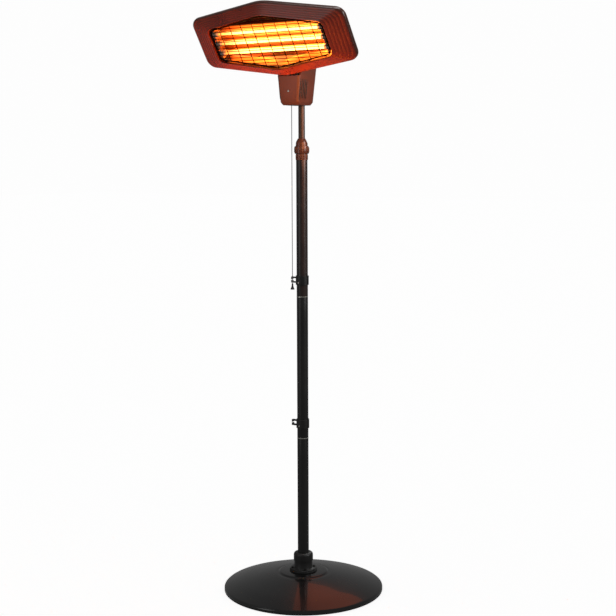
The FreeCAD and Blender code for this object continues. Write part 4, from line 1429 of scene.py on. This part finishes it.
@dataclass
class Base:
    """The round weighted base and the socket on it. Lengths in millimetres."""

    radius: float = 230.0
    rim_height: float = 10.0
    trim_height: float = 4.0
    trim_width: float = 6.0
    sheet: float = 2.0
    boss_radius: float = 71.5
    boss_top: float = 54.0
    boss_step: float = 4.0
    hole: float = 16.3
    gasket_radius: float = 40.0
    socket_low: float = 58.0
    flange_radius: float = 38.0
    socket_radius: float = 26.2
    socket_top: float = 84.0
    collar_radius: float = 28.0
    collar_top: float = 109.0
    screw_circle: float = 32.0
    screw_count: int = 4

    def cover(self) -> None:
        """Press the cover: domed sheet with a rolled rim and a raised round boss."""
        shoulder = self.boss_top - self.boss_step
        span = self.radius - 6 - self.boss_radius
        rise = shoulder - self.rim_height
        dome = [(self.radius - 2.4, self.rim_height + 1.0)]
        dome += [
            (self.boss_radius + span * part, self.rim_height + rise * lift)
            for part, lift in ((0.98, 0.10), (0.70, 0.45), (0.36, 0.77), (0.10, 0.965))
        ]
        dome += [(self.boss_radius + 3, shoulder - 0.2)]
        step = [
            (self.boss_radius, shoulder + 0.2), (self.boss_radius - 1.6, shoulder + 1.4),
            (self.boss_radius - self.boss_step + 0.6, self.boss_top - 0.7),
            (self.boss_radius - self.boss_step - 2.0, self.boss_top - 0.05)
        ]
        outer = [
            (self.radius, self.trim_height), (self.radius, self.rim_height - 2.2),
            (self.radius - 0.5, self.rim_height - 0.6)
        ]
        outer += eased(dome, 8) + step + [(self.hole, self.boss_top)]
        inner = [(radius, height - self.sheet) for radius, height in outer[::-1][:-3]]
        inner += [
            (self.radius - self.sheet, self.rim_height - 2.4),
            (self.radius - self.sheet, self.trim_height)
        ]
        cover = lathe("base_cover_pressing", outer + inner, 192)
        hand_over(cover, Body.STAND, Slot.BASE, BASE_GLOSS, "base_cover")

    def trim(self) -> None:
        """Turn the rubber edge ring with its rounded lip."""
        outer, inner = self.radius, self.radius - self.trim_width
        top = self.trim_height
        outline = [
            (inner, 0.3), (inner + 0.5, 0.0), (outer - 0.8, 0.0), (outer - 0.2, 0.5), (outer, 1.2),
            (outer, top - 0.9), (outer - 0.3, top - 0.2), (outer - 0.8, top), (inner, top)
        ]
        ring = lathe("base_edge_trim_ring", outline, 192)
        hand_over(ring, Body.STAND, Slot.RUBBER, RUBBER, "base_edge_trim")

    def socket(self) -> None:
        """Mould the pole socket, its gasket and its collar, and drive its screws."""
        gasket = lathe(
            "socket_gasket_ring",
            [(self.hole, self.boss_top), (self.gasket_radius - 0.8, self.boss_top),
             (self.gasket_radius, self.boss_top + 0.8), (self.gasket_radius, self.socket_low - 1.0),
             (self.gasket_radius - 1.0, self.socket_low), (self.hole, self.socket_low)],
            96,
        )
        hand_over(gasket, Body.STAND, Slot.RUBBER, RUBBER, "socket_gasket")
        low, wide, slim = self.socket_low, self.flange_radius, self.socket_radius
        flange_top = low + 4.0
        socket = lathe(
            "pole_socket_moulding",
            [(self.hole, low), (wide - 0.6, low), (wide, low + 0.6), (wide, flange_top - 1.0),
             (wide - 1.0, flange_top), (slim + 1.4, flange_top), (slim + 0.5, flange_top + 0.5),
             (slim, flange_top + 1.6), (slim, self.socket_top - 0.4), (slim - 0.4, self.socket_top),
             (self.hole, self.socket_top)],
            96,
        )
        hand_over(socket, Body.STAND, Slot.NYLON, NYLON, "pole_socket")
        top, out = self.collar_top, self.collar_radius
        shoulder = eased(
            [
                (out, top - 9), (out - 0.25, top - 6.4), (out - 1.3, top - 3.6),
                (out - 3.4, top - 1.4), (out - 6.2, top - 0.2), (out - 8.0, top)
            ],
            5
        )
        collar = lathe(
            "socket_collar_moulding",
            [
                (self.hole, self.socket_top), (out - 0.8, self.socket_top),
                (out, self.socket_top + 0.8)
            ] + shoulder + [(self.hole, top)],
            96
        )
        hand_over(collar, Body.STAND, Slot.NYLON, NYLON, "socket_collar")
        seeds = around(self.screw_count, self.screw_circle, flange_top - 0.05, math.pi / 4)
        screws = screw_tree().grow(
            "socket_screw_heads", BLACK_OXIDE, seeds, Head_Radius=3.9 * MM, Head_Height=3.0 * MM
        )
        hand_over(screws, Body.STAND, Slot.ZINC, BLACK_OXIDE, "socket_screws")

    def build(self) -> None:
        """Build and dress the base."""
        self.cover()
        self.trim()
        self.socket()
        feet = softened("base_feet", "base_feet_pads", 0.8)
        hand_over(feet, Body.STAND, Slot.RUBBER, RUBBER)
        weight = softened("base_weight", "base_weight_casting", 1.2)
        hand_over(weight, Body.STAND, Slot.IRON, IRON)
        dress(["centre_bolt", "centre_washer"], ZINC)
        dress(["pole_foot_plug"], NYLON)


# ---------------------------------------------------------------- pole


@dataclass
class Pole:
    """Three pole tubes, their joint rings and the cable clips. Lengths in millimetres."""

    radius: float = 16.0
    wall: float = 1.5
    foot: float = 40.0
    section: float = 406.0
    ring_height: float = 2.5
    screw_radius: float = 2.0
    screw_ahead: float = 18.4

    def tubes(self) -> None:
        """Draw the three tubes, each with its ends turned in a little."""
        for index, name in enumerate(("pole_lower", "pole_middle", "pole_upper")):
            low = self.foot + (self.section + self.ring_height) * index
            high = low + self.section
            bore = self.radius - self.wall
            outline = [
                (bore, low + 0.4), (bore + 0.4, low), (self.radius - 0.5, low),
                (self.radius - 0.12, low + 0.25), (self.radius, low + 0.8)
            ]
            outline += [(self.radius, low + (high - low) * part / 6) for part in range(1, 6)]
            outline += [
                (self.radius, high - 0.8), (self.radius - 0.12, high - 0.25),
                (self.radius - 0.5, high), (bore + 0.4, high), (bore, high - 0.4)
            ]
            tube = lathe(name + "_tube", outline, 64)
            hand_over(tube, Body.STAND, Slot.POWDER, POWDER, name)

    def clip_screws(self) -> None:
        """Drive a small screw into each cable clip's band."""
        low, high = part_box("clip_screws")
        levels = (low.z / MM + self.screw_radius, high.z / MM - self.screw_radius)
        seeds = [(0.0, -self.screw_ahead, level) for level in levels]
        screws = screw_tree().grow(
            "clip_screw_heads", ZINC, seeds, Head_Radius=self.screw_radius * MM,
            Head_Height=1.9 * MM, Facing=Vector((math.pi / 2, 0, 0))
        )
        hand_over(screws, Body.STAND, Slot.ZINC, ZINC, "clip_screws")

    def build(self) -> None:
        """Build and dress the pole."""
        self.tubes()
        for node in ("cable_clip_lower", "cable_clip_upper"):
            clip = softened(node, node + "_moulding", 0.7, 3)
            hand_over(clip, Body.STAND, Slot.NYLON, NYLON)
        for node in ("joint_coupler_lower", "joint_coupler_upper"):
            ring = softened(node, node + "_spigot", 0.2)
            hand_over(ring, Body.STAND, Slot.ZINC, ZINC)
        self.clip_screws()


# ---------------------------------------------------------------- twist lock and mast


@dataclass
class TwistLock:
    """The hand collar that locks the mast, with grip ribs. Lengths in millimetres."""

    low: float = 1258.5
    ring_radius: float = 21.0
    ring_height: float = 21.5
    barrel_radius: float = 16.6
    nose_radius: float = 10.6
    nose_height: float = 12.0
    height: float = 42.5
    inside: float = 16.3
    mast_hole: float = 9.55
    ribs: int = 20
    flutes: int = 28
    sleeve_radius: float = 16.9
    sleeve_height: float = 17.5
    sleeve_gap: float = 0.3
    flute_sunk: float = 0.3

    def build(self) -> None:
        """Mould the collar and its grip ribs."""
        low, top = self.low, self.low + self.height
        barrel = top - self.nose_height
        ring = self.ring_radius - 1.0
        ring_top = low + self.ring_height
        outline = [
            (self.inside, low), (ring - 1.4, low), (ring - 0.3, low + 0.7), (ring, low + 1.7)
        ]
        outline += [
            (ring, ring_top - 1.7), (ring - 0.3, ring_top - 0.6), (ring - 1.2, ring_top - 0.1),
            (self.barrel_radius + 0.9, ring_top), (self.barrel_radius + 0.2, ring_top + 0.5)
        ]
        outline += eased(
            [
                (self.barrel_radius, barrel - 3), (self.barrel_radius - 0.2, barrel),
                (self.barrel_radius - 1.1, barrel + 3), (self.barrel_radius - 2.6, barrel + 6.2),
                (self.nose_radius + 1.0, top - 1.6)
            ],
            4
        )
        outline += [
            (self.nose_radius + 0.2, top - 0.4), (self.nose_radius - 0.3, top),
            (self.mast_hole, top), (self.mast_hole, barrel + 4), (self.inside - 0.6, barrel - 4)
        ]
        collar = lathe("lock_collar_moulding", outline, 96)
        hand_over(collar, Body.LOCK, Slot.NYLON, LOCK_NYLON, "lock_collar")
        tree = rib_tree()
        seeds = around(self.ribs, ring, low + self.ring_height / 2)
        ribs = tree.grow(
            "lock_collar_grip_ribs", LOCK_NYLON, seeds, Rib_Radius=1.3 * MM,
            Rib_Length=(self.ring_height - 4.5) * MM
        )
        hand_over(ribs, Body.LOCK, Slot.NYLON, LOCK_NYLON)
        seeds = around(
            self.flutes, self.sleeve_radius - self.flute_sunk,
            low - self.sleeve_gap - self.sleeve_height / 2
        )
        fluting = tree.grow(
            "mast_bush_flutes", LOCK_NYLON, seeds, Rib_Radius=0.8 * MM,
            Rib_Length=(self.sleeve_height - 1.5) * MM
        )
        hand_over(fluting, Body.STAND, Slot.NYLON, LOCK_NYLON)
        dress(["mast_bush"], LOCK_NYLON)
        dress(["collet", "mast_guide"], NYLON)


@dataclass
class Mast:
    """The thin telescopic tube, the neck on it and the tilt hinge. Lengths in millimetres."""

    radius: float = 9.25
    wall: float = 1.2
    neck_low: float = 1392.0
    neck_half: float = 30.5
    neck_front: float = 61.0
    neck_flare: float = 12.0
    neck_rise: float = 123.0
    rib_low: float = 1403.0
    rib_high: float = 1466.0
    rib_count: int = 5
    rib_step: float = 7.4
    rib_ahead: float = 56.0
    screw_up: float = 38.0

    def tube(self) -> None:
        """Draw the mast tube."""
        low, high = (corner.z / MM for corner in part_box("mast_tube"))
        bore = self.radius - self.wall
        outline = [
            (bore, low + 0.3), (bore + 0.3, low), (self.radius - 0.3, low), (self.radius, low + 0.4)
        ]
        outline += [(self.radius, low + (high - low) * part / 6) for part in range(1, 6)]
        outline += [(self.radius, high - 0.3), (self.radius - 0.3, high), (bore, high)]
        tube = lathe("mast_tube_drawn", outline, 48)
        hand_over(tube, Body.MAST, Slot.POWDER, POWDER, "mast_tube")

    def ribs(self) -> None:
        """Mould the upright grip ribs down both sides of the neck's front shell."""
        lean = math.atan(self.neck_flare / self.neck_rise)
        middle = (self.rib_low + self.rib_high) / 2
        out = self.neck_half + self.neck_flare * (middle - self.neck_low) / self.neck_rise
        length = (self.rib_high - self.rib_low) / math.cos(lean)
        for side, label in ((1, "left"), (-1, "right")):
            seeds = [
                (side * (out - 0.5), self.rib_step * index - self.rib_ahead, middle)
                for index in range(self.rib_count)
            ]
            # the ribs keep the black nylon while the shell carries the painted brown glow, so they
            # show as dark stripes of painted shade
            ribs = rib_tree().grow(
                "neck_ribs_" + label, NYLON, seeds, Rib_Radius=1.9 * MM, Rib_Length=length * MM,
                Facing=Vector((0, side * lean, 0))
            )
            hand_over(ribs, Body.MAST, Slot.NYLON, NYLON)

    def screws(self) -> None:
        """Drive the neck's front screw and its two shell screws."""
        tree = screw_tree()
        front = tree.grow(
            "neck_front_screw", BLACK_OXIDE,
            [(0.0, -self.neck_front - 0.4, self.neck_low + self.screw_up)], Head_Radius=3.2 * MM,
            Head_Height=2.0 * MM, Facing=Vector((math.pi / 2, 0, 0))
        )
        hand_over(front, Body.MAST, Slot.ZINC, BLACK_OXIDE)
        dress(["neck_screws"], ZINC)

    def build(self) -> None:
        """Build and dress the mast, neck and hinge."""
        self.tube()
        for node in ("neck_front_shell", "neck_rear_shell"):
            shell = softened(node, node + "_moulding", 0.9, 3, 40.0)
            hand_over(shell, Body.MAST, Slot.NYLON, NECK_NYLON_PAINTED_GLOW)
        self.ribs()
        self.screws()
        gland = softened("mains_gland", "mains_gland_moulding", 0.6)
        hand_over(gland, Body.MAST, Slot.NYLON, NYLON)
        knob = softened("tilt_knob", "tilt_knob_moulding", 1.2, 3)
        hand_over(knob, Body.KNOB, Slot.NYLON, NYLON)
        yoke = softened("hinge_yoke", "hinge_yoke_pressing", 0.5)
        hand_over(yoke, Body.MAST, Slot.ZINC, ZINC)
        dress(["pivot_bolt", "friction_washers", "switch_axle"], ZINC)
        dress(["mast_mount"], NYLON)
        dress(["switch_case", "switch_plunger", "switch_rotor"], PHENOLIC)
        dress(["switch_spring"], SPRING_WIRE)


# ---------------------------------------------------------------- head


@dataclass
class Hexagon:
    """A six-sided outline, wider than tall. Sizes in millimetres."""

    width: float
    side: float
    peak: float
    corner: float

    def inset(self, wall: float) -> "Hexagon":
        """The same outline set in all round."""
        return Hexagon(
            self.width - 2 * wall, self.side - wall, self.peak - wall, self.corner - 0.4 * wall
        )

    def blend(self, other: "Hexagon", part: float) -> "Hexagon":
        """The outline part of the way to another."""
        mix = [a + (b - a) * part for a, b in zip(vars(self).values(), vars(other).values())]
        return Hexagon(*mix)

    def line(self, steps: int = 10, along: int = 6) -> list[Point]:
        """The outline's points, round corners included."""
        half, side, peak = self.width / 2, self.side, self.peak
        corner, crown = self.corner, self.corner * 1.2
        return rounded(
            [(half, side), (0, peak), (-half, side), (-half, -side), (0, -peak), (half, -side)],
            [corner, crown, corner, corner, crown, corner], steps, along
        )


@dataclass
class Head:
    """The tilting head, drawn upright about its pivot and turned down. Sizes in millimetres."""

    tilt_deg: float = 33.4
    pivot: tuple[float, float, float] = (0.0, -30.0, 1499.0)
    ahead: float = 53.5
    above: float = 113.2
    rim_depth: float = 10.0
    proud: float = 20.4
    wall: float = 2.5
    housing_depth: float = 52.0
    wire: float = 1.15
    bar_pitch: float = 9.9
    rod_pitch: float = 37.8
    tube_pitch: float = 28.5
    tube_length: float = 372.0
    tube_ahead: float = 57.5
    coil_radius: float = 2.2
    steps: int = 5
    groove: float = 0.5
    vent_across: float = 60.0
    vent_up: float = 13.0
    hood_lift: float = 3.4
    screw_out: float = 175.0
    screw_up: float = 28.0

    def __post_init__(self) -> None:
        """Work out the head's place and its two outlines."""
        self.outline = Hexagon(501.0, 72.6, 112.1, 23.0)
        self.opening = Hexagon(378.0, 49.9, 82.7, 16.0)
        self.place = Matrix.Translation(Vector(self.pivot) * MM) @ Matrix.Rotation(
            math.radians(self.tilt_deg), 4, "X"
        )

    def ring(self, outline: Hexagon, ahead: float) -> list[Vector]:
        """An outline's ring at a distance ahead of the pivot, in metres, head upright."""
        return [Vector((x, -ahead, self.above + z)) * MM for x, z in outline.line()]

    def bezel(self) -> None:
        """Press the front bezel: rounded rim, grooved slope and rolled inner lip."""
        rim, slope = self.ahead, self.proud
        levels = [
            (0.0, -self.rim_depth), (0.0, -3.6), (0.006, -1.6), (0.02, 0.2), (0.045, 1.7),
            (0.08, 2.9)
        ]
        # the slope climbs straight to the lip, with fine pressed grooves across it
        first, last, base, top = 0.08, 0.92, 2.9, 19.5
        for index in range(self.steps):
            middle = first + (last - first) * (index + 0.8) / (self.steps + 0.4)
            for off, depth in (
                (-0.026, 0.0), (-0.010, self.groove), (0.010, self.groove), (0.026, 0.0)
            ):
                climb = (middle + off - first) / (last - first)
                levels.append((middle + off, base + (top - base) * climb - depth))
        levels += [
            (last, top), (0.945, slope - 0.35), (0.965, slope), (0.985, slope - 0.25),
            (0.997, slope - 1.1), (1.0, slope - 2.4)
        ]
        rings = [
            self.ring(self.outline.blend(self.opening, part), rim + level) for part, level in levels
        ]
        inner_rim = self.outline.inset(self.wall)
        inner_lip = self.opening.inset(self.wall * 0.2)
        back = [
            (1.0, slope - 6.0), (0.97, slope - 4.6), (0.5, 7.0), (0.06, -1.6), (0.0, -3.6),
            (0.0, -self.rim_depth)
        ]
        rings += [self.ring(inner_rim.blend(inner_lip, part), rim + level) for part, level in back]
        made = skin("front_bezel_pressing", rings, loop=True)
        made.data.transform(self.place)
        shade(made.data, 60.0)
        hand_over(made, Body.HEAD, Slot.HEAD, HEAD_ENAMEL_PAINTED_GLOW, "front_bezel")

    def housing(self) -> None:
        """Round the rear housing's edges and press its cooling louvres."""
        shell = softened("rear_housing", "rear_housing_pressing", 1.6, 3, 25.0)
        hand_over(shell, Body.HEAD, Slot.HEAD, HEAD_ENAMEL_PAINTED_GLOW)
        back = self.ahead - self.housing_depth
        seeds = [
            (self.vent_across * column, -back, self.above + self.vent_up * row + self.hood_lift)
            for column in (-2, -1, 0, 1, 2)
            for row in (-2, -1, 1, 2)
        ]
        hoods = louvre_tree().grow(
            "rear_housing_louvres", HEAD_ENAMEL_PAINTED_GLOW, seeds, self.place, Hood_Length=48.0 * MM,
            Hood_Height=5.6 * MM, Hood_Depth=8.0 * MM
        )
        hand_over(hoods, Body.HEAD, Slot.HEAD, HEAD_ENAMEL_PAINTED_GLOW)
        spots = [
            (self.screw_out * side, -back + 0.1, self.above + self.screw_up * level)
            for side in (-1, 1)
            for level in (-1, 1)
        ]
        screws = screw_tree().grow(
            "housing_screw_heads", ZINC, spots, self.place, Head_Radius=3.5 * MM,
            Head_Height=2.0 * MM, Facing=Vector((-math.pi / 2, 0, 0))
        )
        hand_over(screws, Body.HEAD, Slot.ZINC, ZINC, "housing_screws")
        lug = softened("hinge_lug", "hinge_lug_casting", 0.8)
        hand_over(lug, Body.HEAD, Slot.HEAD, HEAD_ENAMEL_PAINTED_GLOW)

    def grille(self) -> None:
        """Bend the grille's frame wire and weld its bars and rods."""
        frame_line = self.opening.inset(self.wall + 1 + 2.0)
        ahead = self.ahead + self.proud - 5.0
        rings = []
        points = [Vector((x, 0, z)) for x, z in frame_line.line(8, 8)]
        for i, here in enumerate(points):
            along = (points[(i + 1) % len(points)] - points[i - 1]).normalized()
            out = Vector((along.z, 0, -along.x))
            ring = []
            for k in range(10):
                turn = 2 * math.pi * k / 10
                off = out * math.cos(turn) + Vector((0, 1, 0)) * math.sin(turn)
                ring.append((here + off * 2.0 + Vector((0, -ahead, self.above))) * MM)
            rings.append(ring)
        made = skin("grille_frame_wire", rings, loop=True)
        made.data.transform(self.place)
        hand_over(made, Body.HEAD, Slot.GRILLE, OXIDE_WIRE, "grille_frame")
        outer = self.opening.inset(self.wall + 1)
        half, side, peak = outer.width / 2, outer.side, outer.peak
        slope = (peak - side) / half
        tree = wire_tree()
        bars = tree.grow(
            "grille_bar_wires", OXIDE_WIRE, (),
            self.place @ Matrix.Translation(Vector((0, -(ahead + self.wire * 2), self.above)) * MM),
            Wire_Radius=self.wire * MM, Pitch=self.bar_pitch * MM, Number=15,
            Longest=(half - 1) * MM, Reach=(peak / slope - 2) * MM, Slope=1 / slope,
            Turn=Vector((0, 0, 0))
        )
        hand_over(bars, Body.HEAD, Slot.GRILLE, OXIDE_WIRE, "grille_bars")
        rods = tree.grow(
            "grille_rod_wires", OXIDE_WIRE, (),
            self.place @ Matrix.Translation(Vector((0, -ahead, self.above)) * MM),
            Wire_Radius=self.wire * MM, Pitch=self.rod_pitch * MM, Number=9,
            Longest=(peak - 1) * MM, Reach=(peak - 1) * MM, Slope=slope,
            Turn=Vector((0, math.pi / 2, 0))
        )
        hand_over(rods, Body.HEAD, Slot.GRILLE, OXIDE_WIRE, "grille_rods")

    def reflector(self) -> None:
        """Roll the reflector: a six-sided tray with a trough behind each tube."""
        front = self.opening.inset(-5.0)
        half, side, peak = front.width / 2, front.side, front.peak
        slope = (peak - side) / half
        lean = math.cos(math.atan(slope))
        columns, rows = 64, 72
        points, faces = [], []
        for i in range(columns + 1):
            x = half * (2 * i / columns - 1)
            reach = peak - slope * abs(x)
            for k in range(rows + 1):
                z = reach * (2 * k / rows - 1)
                inside = min(half - abs(x), (reach - abs(z)) * lean)
                part = min(1.0, inside / 20.0)
                wall = 22.5 * part * part * (3 - 2 * part)
                # ridges stand halfway between the tubes and fade out towards the walls
                ridge = 6.0 * (0.5 - 0.5 * math.cos(2 * math.pi * z / self.tube_pitch)) * part
                ahead = self.ahead + 6.0 - wall + ridge
                points.append(Vector((x, -ahead, self.above + z)) * MM)
        for i in range(columns):
            for k in range(rows):
                low = i * (rows + 1) + k
                faces.append((low, low + rows + 1, low + rows + 2, low + 1))
        made = from_faces("reflector_troughs", points, faces)
        made.data.transform(self.place)
        wall = made.modifiers.new("SheetThickness", "SOLIDIFY")
        wall.thickness = 0.8 * MM
        wall.offset = -1.0
        hand_over(made, Body.HEAD, Slot.REFLECTOR, ALUMINIUM_PAINTED_GLOW, "reflector")

    def elements(self) -> None:
        """Wind the coils into the quartz tubes and fit their ceramic ends."""
        tree = coil_tree()
        for number, row in enumerate((1, 0, -1), start=1):
            spot = Vector((0, -self.tube_ahead, self.above + self.tube_pitch * row)) * MM
            coil = tree.grow(
                f"heating_coil_{number}_winding", HOT_COIL, (),
                self.place @ Matrix.Translation(spot), Coil_Radius=(self.coil_radius - 0.4) * MM,
                Length=(self.tube_length - 6) * MM, Turns=100.0, Wire_Radius=0.4 * MM
            )
            hand_over(coil, Body.HEAD, Slot.COIL, HOT_COIL, f"heating_coil_{number}")
        dress([f"quartz_tube_{number}" for number in (1, 2, 3)], QUARTZ)
        ends = softened("ceramic_ends", "ceramic_end_caps", 0.8, 2)
        hand_over(ends, Body.HEAD, Slot.STEATITE, STEATITE)
        dress(["terminal_block"], STEATITE)
        dress(["tip_over_switch"], NYLON)
        dress(["heat_shield"], COOL_ALUMINIUM)
        dress(["tube_brackets"], ZINC)

    def glow(self, studio: Studio) -> None:
        """Cast the tubes' warm light on the head's own front, the neck and the pole.

        Args:
            studio: The studio that hangs the lights.
        """
        turn = self.place.to_3x3()
        face = self.place @ (Vector((0, -self.ahead, self.above)) * MM)
        outwards = (turn @ Vector((0, -1, 0))).normalized()
        right, away = studio.directions()
        under = (turn @ Vector((0, 0, -1))).normalized()
        studio.lamp(
            "tube_glow_on_bezel", face + outwards * 0.20 + under * 0.26 + right * 0.03,
            face + under * 0.05, (0.40, 0.10), 8, "#FF7612", only=("front_bezel",), mirrored=False
        )
        studio.lamp(
            "tube_glow_on_face", face + outwards * 0.36 + under * 0.12, face, (0.36, 0.16), 4.5,
            "#FF8410", only=("front_bezel",), mirrored=False
        )
        studio.lamp(
            "tube_glow_on_neck", right * 0.04 - away * 0.42 + Vector((0, 0, 1.40)),
            Vector((0, -0.03, 1.45)), (0.3, 0.3), 4.6, "#FFA04C", only=("neck_", "lock_", "mast_"),
            mirrored=False
        )
        studio.lamp(
            "tube_glow_on_pole", right * 0.5 - away * 0.55 + Vector((0, 0, 1.5)),
            Vector((0, 0, 1.25)), (1.1, 0.4), 14, "#E08A64", only=("pole_upper", "mast_", "lock_")
        )
        studio.lamp(
            "tube_glow_on_base", right * 0.22 + away * 0.60 + Vector((0, 0, 1.02)),
            right * 0.1 - away * 0.17, (0.62, 0.60), 0.7, "#FF6400", only=("base_cover",)
        )
        # light that the tray throws back on the inside of the bezel's lip
        behind = self.place @ (Vector((0, -self.ahead, self.above)) * MM)
        studio.lamp(
            "tube_glow_on_lip", behind, behind + outwards, (0.30, 0.09), 1.6, "#FF6A14",
            only=("front_bezel",), mirrored=False
        )
        # the tray takes the tubes' light from between them and the grille
        inside = self.place @ (Vector((0, -self.tube_ahead - 8.5, self.above)) * MM)
        studio.lamp(
            "tube_glow_in_tray", inside, inside - outwards, (0.34, 0.12), 0.22, "#FF8418",
            only=("reflector", "ceramic", "tube_brackets", "front_bezel")
        )

    def build(self) -> None:
        """Build and dress the head."""
        self.bezel()
        self.housing()
        self.grille()
        self.reflector()
        self.elements()


def main() -> None:
    """Build the studio and the heater."""
    logging.basicConfig(level=logging.INFO, format="%(name)s: %(message)s")
    studio = Studio()
    studio.build()
    PullCord().build()
    Base().build()
    Pole().build()
    TwistLock().build()
    Mast().build()
    head = Head()
    head.build()
    studio.softboxes()
    head.glow(studio)


if __name__ == "__main__":
    main()
